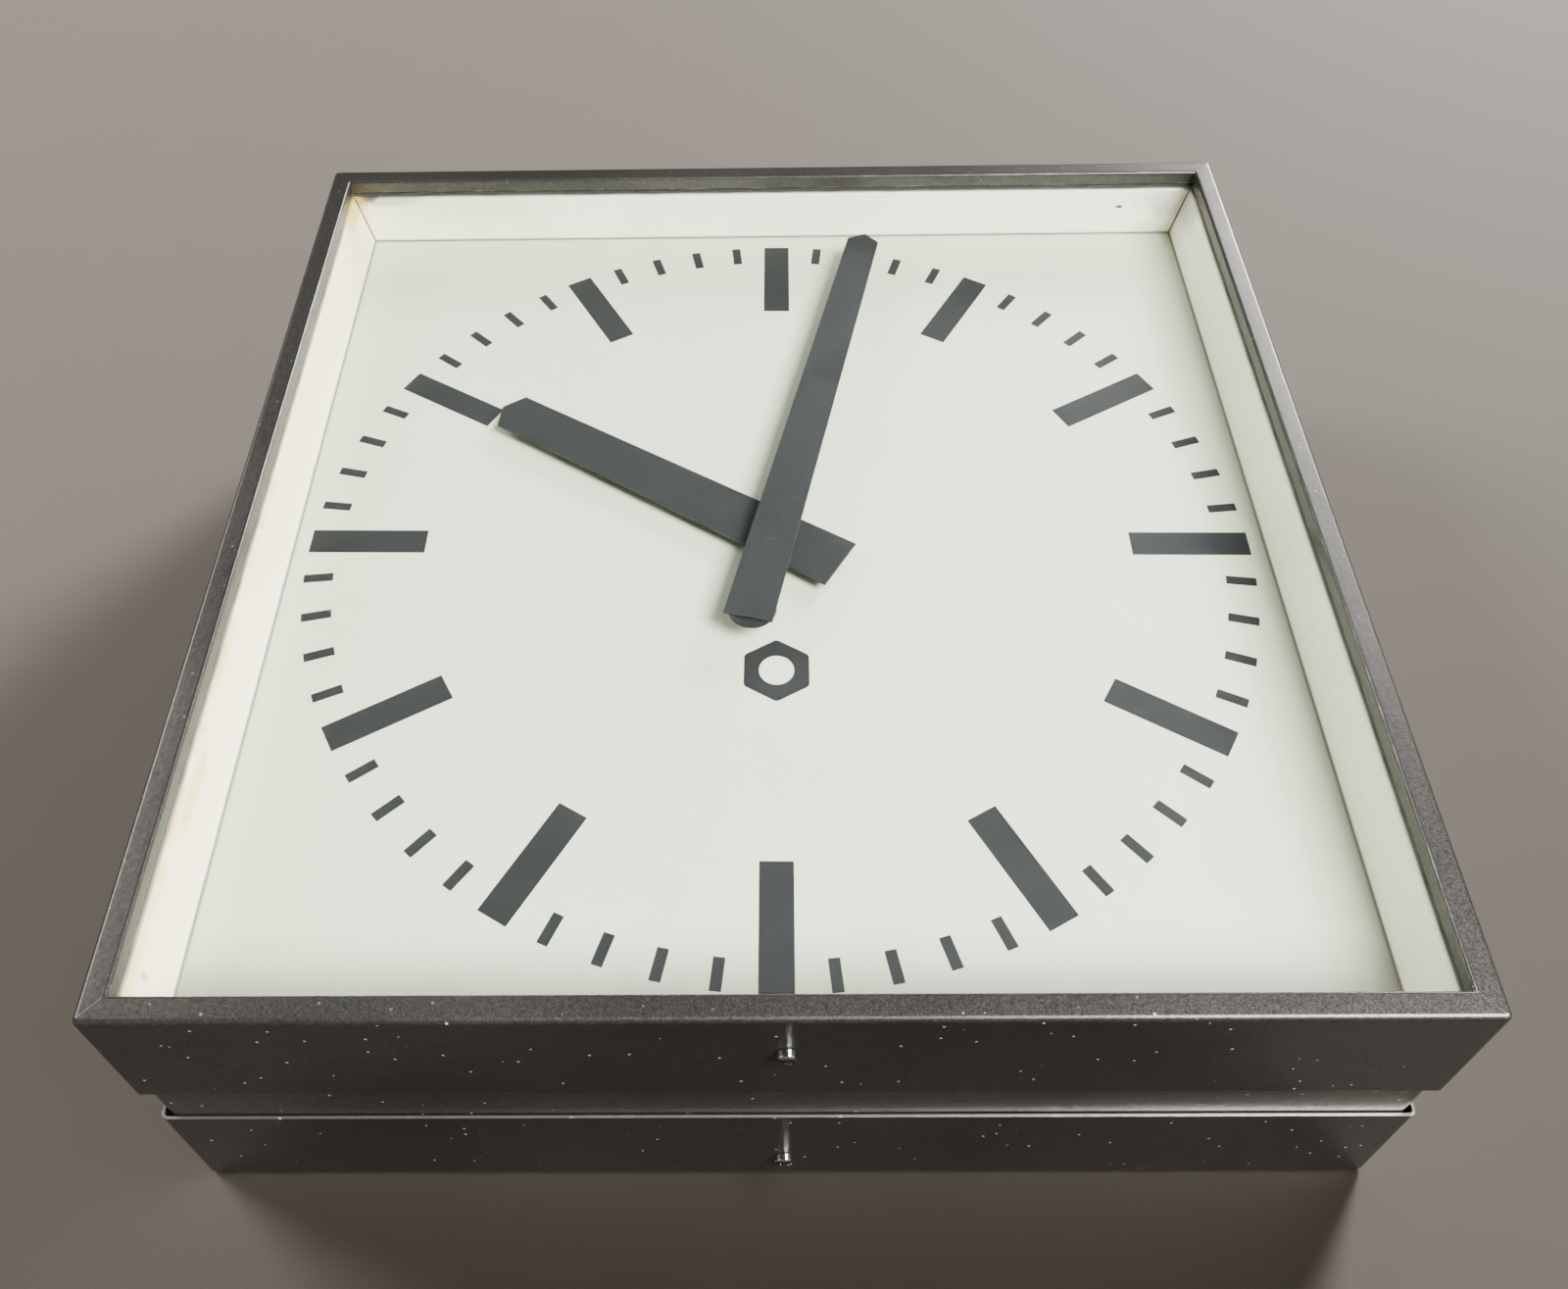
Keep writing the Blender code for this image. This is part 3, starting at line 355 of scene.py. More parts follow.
def hand_over(ob, finish, body, slot, *stands_for):
    """Gives a finished piece its material and its CAD body, and hides the nodes that it stands for. The slot
    is not used.
    """
    ob.data.materials.clear()
    ob.data.materials.append(finish)
    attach(ob, body)
    if stands_for:
        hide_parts(*stands_for)
    return ob


# ---------------------------------------------------------------- shader helpers
def node(tree, kind, ins=(), **values):
    """A shader node. ins gives its inputs, in order or by name: a socket is linked, and a value is set."""
    made = tree.nodes.new(kind)
    for key, value in values.items():
        setattr(made, key, value)
    for place, value in (ins.items() if isinstance(ins, dict) else enumerate(ins)):
        if isinstance(value, bpy.types.NodeSocket):
            tree.links.new(value, made.inputs[place])
        elif value is not None:
            made.inputs[place].default_value = value
    return made


def maths(tree, operation, *ins):
    return node(tree, 'ShaderNodeMath', ins, operation=operation).outputs[0]


def times(tree, a, b):
    return maths(tree, 'MULTIPLY', a, b)


def ramp(tree, value, low, high, to_low=0.0, to_high=1.0):
    """value from low..high to to_low..to_high, with soft ends."""
    return node(tree, 'ShaderNodeMapRange', (value, low, high, to_low, to_high),
                interpolation_type='SMOOTHSTEP').outputs[0]


def blend(tree, factor, first, second, mode='MIX'):
    """A mix of two colours."""
    made = node(tree, 'ShaderNodeMix', {0: factor, 6: first, 7: second}, data_type='RGBA', blend_type=mode)
    return made.outputs[2]


def noise(tree, place, scale, detail=3.0, roughness=0.55):
    return node(tree, 'ShaderNodeTexNoise', {'Vector': place, 'Scale': scale, 'Detail': detail,
                                             'Roughness': roughness}).outputs['Fac']


def opaque(values):
    return (*values, 1.0)


def new_group(name, inputs, outputs):
    """An empty node group. Sockets are (name, kind, default): kind is Float, Vector or Color."""
    tree = bpy.data.node_groups.new(name, 'ShaderNodeTree')
    for label, kind, default in inputs:
        socket = tree.interface.new_socket(name=label, in_out='INPUT', socket_type='NodeSocket' + kind)
        if default is not None:
            socket.default_value = default
    for label, kind in outputs:
        tree.interface.new_socket(name=label, in_out='OUTPUT', socket_type='NodeSocket' + kind)
    return tree, tree.nodes.new('NodeGroupInput').outputs, tree.nodes.new('NodeGroupOutput').inputs


def use(tree, group, **ins):
    """The outputs of a node group placed in a tree. An input's spaces are written as underscores."""
    made = tree.nodes.new('ShaderNodeGroup')
    made.node_tree = group
    for key, value in ins.items():
        socket = made.inputs[key.replace('_', ' ')]
        if isinstance(value, bpy.types.NodeSocket):
            tree.links.new(value, socket)
        else:
            socket.default_value = value
    return made.outputs


# ---------------------------------------------------------------- effects shared by the finishes
def mottle_group():
    """Uneven tone: a value round 1 that drifts over a large and a small scale."""
    tree, ins, outs = new_group("mottle", (("Place", 'Vector', None), ("Broad Scale", 'Float', 12.0),
                                           ("Fine Scale", 'Float', 300.0), ("Amount", 'Float', 0.1)),
                                (("Tone", 'Float'),))
    broad = noise(tree, ins["Place"], ins["Broad Scale"], 3.0)
    fine = noise(tree, ins["Place"], ins["Fine Scale"], 2.0)
    both = maths(tree, 'ADD', maths(tree, 'SUBTRACT', broad, 0.5), maths(tree, 'SUBTRACT', fine, 0.5))
    tone = maths(tree, 'MULTIPLY_ADD', both, ins["Amount"], 1.0)
    tree.links.new(tone, outs["Tone"])
    return tree


def specks_group():
    """Scattered round specks: a mask that is 1 on them."""
    tree, ins, outs = new_group("specks", (("Place", 'Vector', None), ("Scale", 'Float', 120.0),
                                           ("Radius", 'Float', 0.12), ("Share", 'Float', 0.3)),
                                (("Mask", 'Float'),))
    cells = node(tree, 'ShaderNodeTexVoronoi', {'Vector': ins["Place"], 'Scale': ins["Scale"]})
    edge = times(tree, ins["Radius"], 0.6)
    dot = ramp(tree, cells.outputs['Distance'], ins["Radius"], edge)
    chance = node(tree, 'ShaderNodeSeparateColor', (cells.outputs['Color'],)).outputs[0]
    chosen = maths(tree, 'LESS_THAN', chance, ins["Share"])
    tree.links.new(times(tree, dot, chosen), outs["Mask"])
    return tree


def edge_wear_group():
    """Rubbed edges: a mask that is 1 where a surface turns sharply, broken up by noise."""
    tree, ins, outs = new_group("edge_wear", (("Place", 'Vector', None), ("Reach", 'Float', 0.0006),
                                              ("Amount", 'Float', 0.5), ("Patch Scale", 'Float', 60.0)),
                                (("Mask", 'Float'),))
    rounded = node(tree, 'ShaderNodeBevel', {'Radius': ins["Reach"]}, samples=4)
    straight = node(tree, 'ShaderNodeNewGeometry').outputs['Normal']
    same = node(tree, 'ShaderNodeVectorMath', (rounded.outputs[0], straight), operation='DOT_PRODUCT')
    bend = ramp(tree, same.outputs['Value'], 0.995, 0.90)
    patches = noise(tree, ins["Place"], ins["Patch Scale"], 4.0, 0.7)
    lowest = maths(tree, 'SUBTRACT', 1.0, ins["Amount"])
    worn = ramp(tree, patches, maths(tree, 'MULTIPLY_ADD', lowest, 0.6, 0.1),
                maths(tree, 'MULTIPLY_ADD', lowest, 0.6, 0.35))
    clipped = node(tree, 'ShaderNodeMath', (bend, worn), operation='MULTIPLY', use_clamp=True).outputs[0]
    tree.links.new(clipped, outs["Mask"])
    return tree


def patch_group():
    """A soft, ragged patch round a point, stretched by Stretch along each axis: a mask."""
    tree, ins, outs = new_group("patch", (("Place", 'Vector', None), ("Centre", 'Vector', None),
                                          ("Stretch", 'Vector', (1.0, 1.0, 1.0)), ("Reach", 'Float', 0.01),
                                          ("Rag Scale", 'Float', 300.0), ("Rag", 'Float', 0.6)),
                                (("Mask", 'Float'),))
    away = node(tree, 'ShaderNodeVectorMath', (ins["Place"], ins["Centre"]), operation='SUBTRACT').outputs[0]
    scaled = node(tree, 'ShaderNodeVectorMath', (away, ins["Stretch"]), operation='DIVIDE').outputs[0]
    far = node(tree, 'ShaderNodeVectorMath', (scaled,), operation='LENGTH').outputs['Value']
    share_out = maths(tree, 'DIVIDE', far, ins["Reach"])
    rag = maths(tree, 'SUBTRACT', noise(tree, ins["Place"], ins["Rag Scale"], 4.0, 0.65), 0.5)
    ragged = maths(tree, 'MULTIPLY_ADD', rag, ins["Rag"], share_out)
    tree.links.new(ramp(tree, ragged, 1.0, 0.55), outs["Mask"])
    return tree


def brushed_group():
    """Fine parallel lines along one axis: a height, and a value round 0.5."""
    tree, ins, outs = new_group("brushed", (("Place", 'Vector', None),
                                            ("Stretch", 'Vector', (40.0, 1500.0, 1500.0))),
                                (("Lines", 'Float'),))
    drawn = node(tree, 'ShaderNodeVectorMath', (ins["Place"], ins["Stretch"]),
                 operation='MULTIPLY').outputs[0]
    tree.links.new(noise(tree, drawn, 1.0, 3.0, 0.6), outs["Lines"])
    return tree


def turned_lines_group():
    """The rings that a lathe leaves round an axis parallel to Y: a value round 0.5."""
    tree, ins, outs = new_group("turned_lines", (("Place", 'Vector', None), ("Scale", 'Float', 4000.0)),
                                (("Lines", 'Float'),))
    parts = node(tree, 'ShaderNodeSeparateXYZ', (ins["Place"],)).outputs
    flat = node(tree, 'ShaderNodeCombineXYZ', (parts[0], 0.0, parts[2])).outputs[0]
    radius = node(tree, 'ShaderNodeVectorMath', (flat,), operation='LENGTH').outputs['Value']
    along = node(tree, 'ShaderNodeCombineXYZ', (times(tree, radius, ins["Scale"]),
                                                times(tree, parts[1], ins["Scale"]), 0.0)).outputs[0]
    tree.links.new(noise(tree, along, 1.0, 2.0, 0.5), outs["Lines"])
    return tree


GROUPS = {}


def effect(name):
    """A shared effect's node group, built the first time that it is asked for."""
    if name not in GROUPS:
        GROUPS[name] = {"mottle": mottle_group, "specks": specks_group, "edge_wear": edge_wear_group,
                        "patch": patch_group, "brushed": brushed_group,
                        "turned_lines": turned_lines_group}[name]()
    return GROUPS[name]


def mottle(tree, place, broad, fine, amount):
    return use(tree, effect("mottle"), Place=place, Broad_Scale=broad, Fine_Scale=fine, Amount=amount)["Tone"]


def speckle(tree, place, scale, radius, share):
    return use(tree, effect("specks"), Place=place, Scale=scale, Radius=radius, Share=share)["Mask"]


def rubbed_edges(tree, place, reach, amount, patches):
    return use(tree, effect("edge_wear"), Place=place, Reach=reach, Amount=amount,
               Patch_Scale=patches)["Mask"]


def drawn_lines(tree, place, stretch):
    return use(tree, effect("brushed"), Place=place, Stretch=stretch)["Lines"]


# ---------------------------------------------------------------- finishes
# dirt, dust, tarnish and painted shade, as linear colours
SOOT = (0.05, 0.047, 0.043, 1)
DUST = (0.36, 0.35, 0.32, 1)
PIT = (0.01, 0.009, 0.008, 1)
# painted shade on the strips' flanges under the cover's lip
SHELF_SHADE = (0.060, 0.058, 0.050, 1)
SEAM_DIRT = (0.09, 0.08, 0.06, 1)
DARK_DOT = (0.035, 0.028, 0.02, 1)
DIAL_DUST = (0.36, 0.36, 0.31, 1)
DIAL_SHADE = (0.08, 0.08, 0.065, 1)
# painted shade of the dial towards its bottom edge
DIAL_LOW_SHADE = (0.18, 0.175, 0.145, 1)
DIAL_SPECK = (0.16, 0.14, 0.10, 1)
RUBBED_PAINT = (0.30, 0.30, 0.29, 1)
RUB_STREAK = (0.25, 0.25, 0.24, 1)
BRIGHT_EDGE = (0.9, 0.89, 0.86, 1)
STEEL_TARNISH = (0.10, 0.075, 0.05, 1)
ARBOR_TARNISH = (0.22, 0.19, 0.15, 1)
ZINC_TARNISH = (0.42, 0.38, 0.24, 1)
LAP_GAP = (0.01, 0.01, 0.01, 1)
BRASS_TARNISH = (0.20, 0.13, 0.05, 1)


def new_finish(name, rough=0.5, metal=0.0, **constants):
    """A material with a Principled shader: its tree, the shader's inputs, and the place on the object."""
    finish = bpy.data.materials.new(name)
    finish.use_nodes = True
    tree = finish.node_tree
    shader = tree.nodes["Principled BSDF"].inputs
    shader["Roughness"].default_value = rough
    shader["Metallic"].default_value = metal
    for key, value in constants.items():
        shader[key.replace('_', ' ')].default_value = value
    place = node(tree, 'ShaderNodeTexCoord').outputs['Object']
    return finish, tree, shader, place


def relief(tree, shader, height, depth, strength=1.0):
    """Bump of a real depth, in metres."""
    bump = node(tree, 'ShaderNodeBump', {'Strength': strength, 'Distance': depth, 'Height': height})
    tree.links.new(bump.outputs[0], shader["Normal"])


def toned(tree, base, tone):
    """A colour made lighter or darker by a value round 1."""
    grey = node(tree, 'ShaderNodeCombineColor', (tone, tone, tone)).outputs[0]
    return blend(tree, 1.0, base, grey, 'MULTIPLY')


def coordinates(tree, place):
    return node(tree, 'ShaderNodeSeparateXYZ', (place,)).outputs


def hammered_enamel(name, seams=False, rubbed_rim=False, painted_lift=1.0):
    """Metallic grey enamel: fine flake, an orange-peel surface, pale specks and rubbed edges.

    seams adds the faint ridges where the cover's flange is mitred, rubbed_rim bares the tray's front rim, and
    the last argument makes the grey lighter than the cover's: a painted reflection that stands in for the
    brighter surroundings the case wall reflects.
    """
    hues = settings().colours
    finish, tree, shader, place = new_finish(name, 0.36, 0.85, Coat_Weight=0.1, Coat_Roughness=0.2)
    x, y, z = coordinates(tree, place)
    tone = mottle(tree, place, 9.0, 620.0, 0.95)
    specks = speckle(tree, place, 170.0, 0.11, 0.45)
    pits = speckle(tree, place, 75.0, 0.10, 0.12)
    wear = rubbed_edges(tree, place, 0.0007, 0.42, 90.0)
    if rubbed_rim:
        rub = noise(tree, place, 55.0, 4.0, 0.7)
        start = maths(tree, 'MULTIPLY_ADD', rub, 0.0005, TRAY_FRONT - 0.00055)
        rim = maths(tree, 'GREATER_THAN', times(tree, y, -1.0), start)
        wear = maths(tree, 'MAXIMUM', wear, times(tree, rim, 0.4))
    # the grey is scaled up for the case wall: a painted reflection, standing in for the brighter surroundings
    # its band reflects
    body = toned(tree, opaque([part * painted_lift for part in hues.grey]), tone)
    # the specks are real; on the dimly lit underside they are painted paler and less metallic so that they
    # show there, as painted light, and elsewhere they hardly show
    painted_underside_light = ramp(tree, z, 0.003 - TRAY_HALF, 0.0012 - TRAY_HALF, 0.2, 0.9)
    specks_with_painted_light = times(tree, specks, painted_underside_light)
    tree.links.new(maths(tree, 'MULTIPLY_ADD', specks_with_painted_light, -0.8, 0.85), shader["Metallic"])
    body = blend(tree, specks_with_painted_light, body, opaque(hues.bare))
    body = blend(tree, times(tree, pits, 0.6), body, PIT)
    tree.links.new(blend(tree, wear, body, opaque(hues.bare)), shader["Base Color"])
    flake = noise(tree, place, 1600.0, 2.0)
    rough = ramp(tree, maths(tree, 'MULTIPLY_ADD', wear, -0.2, flake), 0.3, 0.7, 0.28, 0.44)
    tree.links.new(rough, shader["Roughness"])
    peel = noise(tree, place, 420.0, 2.0, 0.4)
    height = maths(tree, 'MULTIPLY_ADD', peel, 0.45, noise(tree, place, 110.0, 2.0, 0.5))
    height = maths(tree, 'MULTIPLY_ADD', specks, 0.35, height)
    if seams:
        apart = maths(tree, 'ABSOLUTE', maths(tree, 'SUBTRACT', maths(tree, 'ABSOLUTE', x),
                                                  maths(tree, 'ABSOLUTE', z)))
        front = maths(tree, 'LESS_THAN', y, 0.0004 - COVER_FRONT)
        height = maths(tree, 'MULTIPLY_ADD', times(tree, ramp(tree, apart, 0.0007, 0.0), front),
                       0.5, height)
    relief(tree, shader, height, 0.00022, 0.35)
    return finish


def strip_enamel():
    """Cream enamel of the strips: yellowed bends, rusty and dusty corners, painted shade on the flanges under
    the cover's lip, one chip and a few dark dots.
    """
    hues, sizes = settings().colours, settings().dial
    finish, tree, shader, place = new_finish("cream_strip_enamel", 0.42, 0.0, Coat_Weight=0.15,
                                             Coat_Roughness=0.25)
    x, y, z = coordinates(tree, place)
    tone = mottle(tree, place, 14.0, 420.0, 0.18)
    body = toned(tree, opaque(hues.cream), tone)
    # the left strip has yellowed as a whole, and most along its bend
    left = ramp(tree, x, -sizes.foot_side + 0.001, -sizes.foot_side - 0.002)
    body = blend(tree, times(tree, left, 0.30), body, opaque(hues.aged))
    across = maths(tree, 'ABSOLUTE', maths(tree, 'ADD', x, sizes.bend))
    streak = ramp(tree, across, 0.0016, 0.0)
    broken = ramp(tree, noise(tree, place, 26.0, 4.0, 0.7), 0.42, 0.62)
    body = blend(tree, times(tree, times(tree, streak, broken), 0.75), body,
                 opaque(hues.aged))
    # the flanges beyond the bend are painted dark, a little unevenly, as painted shade under the cover's lip
    outward = maths(tree, 'MAXIMUM', maths(tree, 'ABSOLUTE', x), maths(tree, 'ABSOLUTE', z))
    shelf = ramp(tree, outward, sizes.bend - 0.0004, sizes.bend + 0.0012)
    shelf_shade_mask = times(tree, shelf, ramp(tree, noise(tree, place, 60.0, 4.0), 0.4, 0.7, 0.80, 0.95))
    body = blend(tree, shelf_shade_mask, body, SHELF_SHADE)
    tints = {"aged": opaque(hues.aged), "rust": opaque(hues.rust), "soot": SOOT, "dust": DUST}
    for centre, stretch, reach, tint, strength in STRIP_STAINS:
        mask = use(tree, effect("patch"), Place=place, Centre=centre, Stretch=stretch, Reach=reach,
                   Rag_Scale=260.0, Rag=0.9)["Mask"]
        body = blend(tree, times(tree, mask, strength), body, tints[tint])
    # the mitred corners and the feet hold dark dirt
    narrow = maths(tree, 'ABSOLUTE', x)
    slant = (sizes.foot_top - sizes.foot_side) / (sizes.bend - sizes.foot_side)
    line = maths(tree, 'MULTIPLY_ADD', maths(tree, 'SUBTRACT', sizes.bend, narrow), slant, narrow)
    seam = ramp(tree, maths(tree, 'ABSOLUTE', maths(tree, 'SUBTRACT', maths(tree, 'ABSOLUTE', z), line)),
                0.0008, 0.0001, 0.0, 0.8)
    foot = ramp(tree, times(tree, y, -1.0), STRIP_REAR + 0.0012, STRIP_REAR + 0.0001, 0.0, 0.55)
    body = blend(tree, maths(tree, 'MAXIMUM', seam, foot), body, SEAM_DIRT)
    dots = speckle(tree, place, 42.0, 0.028, 0.16)
    body = blend(tree, times(tree, dots, 0.8), body, DARK_DOT)
    tree.links.new(body, shader["Base Color"])
    relief(tree, shader, noise(tree, place, 330.0, 2.0, 0.5), 0.00008, 0.35)
    return finish


# centre, stretch, reach, tint and strength of each stain on the strips
STRIP_STAINS = (
    ((-0.2060, -0.1353, 0.2150), (1.4, 1.0, 1.0), 0.0042, "rust", 0.85),
    ((-0.2130, -0.1330, 0.2060), (1.0, 1.0, 3.0), 0.0070, "aged", 0.70),
    ((-0.1980, -0.1345, 0.2140), (5.0, 1.0, 1.0), 0.0050, "rust", 0.40),
    ((0.2110, -0.1300, 0.2120), (3.0, 1.4, 3.0), 0.0090, "dust", 0.55),
    ((-0.1500, -0.1300, 0.2120), (5.0, 1.4, 1.0), 0.0100, "dust", 0.18),
    ((0.1787, -0.1262, 0.2110), (1.7, 0.8, 3.0), 0.0013, "soot", 1.0),
    ((-0.2130, -0.1290, -0.1300), (1.0, 1.0, 6.0), 0.0040, "aged", 0.55),
    ((-0.2120, -0.1270, -0.2000), (1.0, 2.0, 1.0), 0.0020, "soot", 0.5),
)


def dial_enamel():
    """Pale enamel of the dial: greyer where dust has gathered by the strips, with painted shade towards the
    bottom edge and faint specks.
    """
    hues, sizes = settings().colours, settings().dial
    finish, tree, shader, place = new_finish("pale_dial_enamel", 0.38, 0.0)
    x, _, z = coordinates(tree, place)
    tone = mottle(tree, place, 5.0, 90.0, 0.05)
    body = toned(tree, opaque(hues.dial), tone)
    side = maths(tree, 'SUBTRACT', sizes.foot_side, maths(tree, 'ABSOLUTE', x))
    top = maths(tree, 'SUBTRACT', sizes.foot_top, maths(tree, 'ABSOLUTE', z))
    inside = maths(tree, 'MINIMUM', side, top)
    wobble = maths(tree, 'MULTIPLY_ADD', noise(tree, place, 40.0, 4.0), 0.004, inside)
    dust = ramp(tree, wobble, 0.010, 0.001, 0.0, 0.35)
    body = blend(tree, dust, body, DIAL_DUST)
    edge = ramp(tree, inside, 0.0016, 0.0002, 0.0, 0.75)
    body = blend(tree, edge, body, DIAL_SHADE)
    # painted shade: the dial grows darker towards its bottom edge, standing in for the shadow of the bottom
    # strip and lip
    low = ramp(tree, z, -0.172, -0.203, 0.0, 0.85)
    body = blend(tree, low, body, DIAL_LOW_SHADE)
    specks = speckle(tree, place, 60.0, 0.020, 0.10)
    body = blend(tree, times(tree, specks, 0.35), body, DIAL_SPECK)
    tree.links.new(body, shader["Base Color"])
    rough = ramp(tree, noise(tree, place, 22.0, 4.0), 0.3, 0.7, 0.34, 0.46)
    tree.links.new(rough, shader["Roughness"])
    relief(tree, shader, noise(tree, place, 240.0, 2.0), 0.00004, 0.25)
    return finish


def matt_grey(name, hue, wear_amount):
    """Matt dark grey: print or thin enamel, a little lighter where it is rubbed."""
    finish, tree, shader, place = new_finish(name, 0.6, 0.0, Specular_IOR_Level=0.12)
    tone = mottle(tree, place, 18.0, 700.0, 0.22)
    body = toned(tree, opaque(hue), tone)
    if wear_amount:
        wear = rubbed_edges(tree, place, 0.0003, wear_amount, 70.0)
        body = blend(tree, times(tree, wear, 0.5), body, RUBBED_PAINT)
        rubs = drawn_lines(tree, place, (160.0, 1.0, 900.0))
        body = blend(tree, ramp(tree, rubs, 0.60, 0.85, 0.0, 0.16), body, RUB_STREAK)
    tree.links.new(body, shader["Base Color"])
    rough = ramp(tree, noise(tree, place, 60.0, 4.0), 0.3, 0.7, 0.46, 0.60)
    tree.links.new(rough, shader["Roughness"])
    relief(tree, shader, noise(tree, place, 1100.0, 2.0), 0.00003, 0.3)
    return finish


def plated(name, hue, rough, stretch, tarnish, amount):
    """Plated or drawn metal: fine lines, and a dull tarnish in patches."""
    finish, tree, shader, place = new_finish(name, rough, 1.0)
    lines = drawn_lines(tree, place, stretch)
    tone = mottle(tree, place, 70.0, 1500.0, 0.25)
    dull = ramp(tree, noise(tree, place, 180.0, 5.0, 0.65), 0.62 - amount * 0.3, 0.80, 0.0, 0.8)
    wear = rubbed_edges(tree, place, 0.0002, 0.8, 300.0)
    body = blend(tree, dull, toned(tree, opaque(hue), tone), tarnish)
    body = blend(tree, times(tree, wear, 0.25), body, BRIGHT_EDGE)
    tree.links.new(body, shader["Base Color"])
    spread = maths(tree, 'ADD', ramp(tree, lines, 0.3, 0.7, rough - 0.07, rough + 0.07),
                   times(tree, dull, 0.25))
    tree.links.new(spread, shader["Roughness"])
    relief(tree, shader, lines, 0.00002, 0.4)
    return finish


def turned_metal(name, hue, rough, tarnish, amount):
    """Metal with the rings of a lathe round its axis."""
    finish, tree, shader, place = new_finish(name, rough, 1.0)
    lines = use(tree, effect("turned_lines"), Place=place, Scale=5000.0)["Lines"]
    tone = mottle(tree, place, 90.0, 2200.0, 0.2)
    dull = ramp(tree, noise(tree, place, 220.0, 5.0, 0.65), 0.62 - amount * 0.3, 0.80, 0.0, 0.7)
    body = blend(tree, dull, toned(tree, opaque(hue), tone), tarnish)
    tree.links.new(body, shader["Base Color"])
    tree.links.new(ramp(tree, lines, 0.3, 0.7, rough - 0.06, rough + 0.08), shader["Roughness"])
    relief(tree, shader, lines, 0.00002, 0.5)
    return finish


def moulded(name, hue, rough, second, swirl_scale, swirl, grain=0.00006, **constants):
    """Moulded or cast stuff: two tones in swirls over a fine grain."""
    finish, tree, shader, place = new_finish(name, rough, 0.0, **constants)
    wide = ramp(tree, noise(tree, place, swirl_scale, 5.0, 0.6), 0.40, 0.66, 0.0, swirl)
    tone = mottle(tree, place, 40.0, 1200.0, 0.18)
    tree.links.new(toned(tree, blend(tree, wide, opaque(hue), opaque(second)), tone), shader["Base Color"])
    tree.links.new(ramp(tree, noise(tree, place, 300.0, 4.0), 0.3, 0.7, rough - 0.08, rough + 0.1),
                   shader["Roughness"])
    relief(tree, shader, noise(tree, place, 900.0, 3.0), grain, 0.5)
    return finish


def stacked_iron():
    """The stator's core: thin iron sheets stacked along Y, blued, with rusty edges."""
    finish, tree, shader, place = new_finish("stacked_iron_sheets", 0.45, 0.9)
    ahead = coordinates(tree, place)[1]
    sheet_gap = maths(tree, 'PINGPONG', ahead, 0.00025)
    seam = ramp(tree, sheet_gap, 0.00006, 0.0)
    tone = mottle(tree, place, 60.0, 900.0, 0.4)
    body = toned(tree, opaque(screen(118, 116, 116)), tone)
    rust = ramp(tree, noise(tree, place, 160.0, 5.0, 0.7), 0.58, 0.75, 0.0, 0.6)
    body = blend(tree, rust, body, opaque(screen(104, 72, 48)))
    body = blend(tree, times(tree, seam, 0.7), body, LAP_GAP)
    tree.links.new(body, shader["Base Color"])
    tree.links.new(maths(tree, 'MULTIPLY_ADD', rust, 0.4, 0.4), shader["Roughness"])
    relief(tree, shader, maths(tree, 'SUBTRACT', 1.0, seam), 0.00008, 0.6)
    return finish


def wound_tape():
    """The coil's cover: cotton tape wound round its axis, soaked in varnish."""
    finish, tree, shader, place = new_finish("wound_coil_tape", 0.5, 0.0, Coat_Weight=0.3, Coat_Roughness=0.3)
    along, _, up = coordinates(tree, place)
    lap = maths(tree, 'PINGPONG', maths(tree, 'MULTIPLY_ADD', up, 0.08, along), 0.0022)
    edge = ramp(tree, lap, 0.0004, 0.0)
    weave = drawn_lines(tree, place, (5000.0, 900.0, 900.0))
    tone = mottle(tree, place, 80.0, 1500.0, 0.3)
    body = toned(tree, opaque(screen(168, 112, 60)), tone)
    body = blend(tree, times(tree, edge, 0.6), body, opaque(screen(92, 54, 26)))
    body = blend(tree, ramp(tree, weave, 0.45, 0.7, 0.0, 0.3), body, opaque(screen(112, 68, 34)))
    tree.links.new(body, shader["Base Color"])
    relief(tree, shader, maths(tree, 'SUBTRACT', weave, edge), 0.0001, 0.6)
    return finish


def window_glass():
    """Clear flat glass: light passes straight through it, and faint smears dull its shine."""
    hues = settings().colours
    finish, tree, shader, place = new_finish("clear_window_glass", 0.0, 0.0, IOR=1.5, Transmission_Weight=1.0)
    tree.nodes["Principled BSDF"].inputs["Base Color"].default_value = opaque(hues.glass)
    smears = mottle(tree, place, 7.0, 40.0, 0.5)
    tree.links.new(ramp(tree, smears, 1.0, 1.25, 0.0, 0.035), shader["Roughness"])
    paths = node(tree, 'ShaderNodeLightPath').outputs
    through = maths(tree, 'MAXIMUM', paths['Is Shadow Ray'], paths['Is Diffuse Ray'])
    clear = node(tree, 'ShaderNodeBsdfTransparent', (opaque(hues.glass),)).outputs[0]
    mix = node(tree, 'ShaderNodeMixShader', (through, tree.nodes["Principled BSDF"].outputs[0], clear))
    tree.links.new(mix.outputs[0], tree.nodes["Material Output"].inputs['Surface'])
    return finish


FINISHES = {}


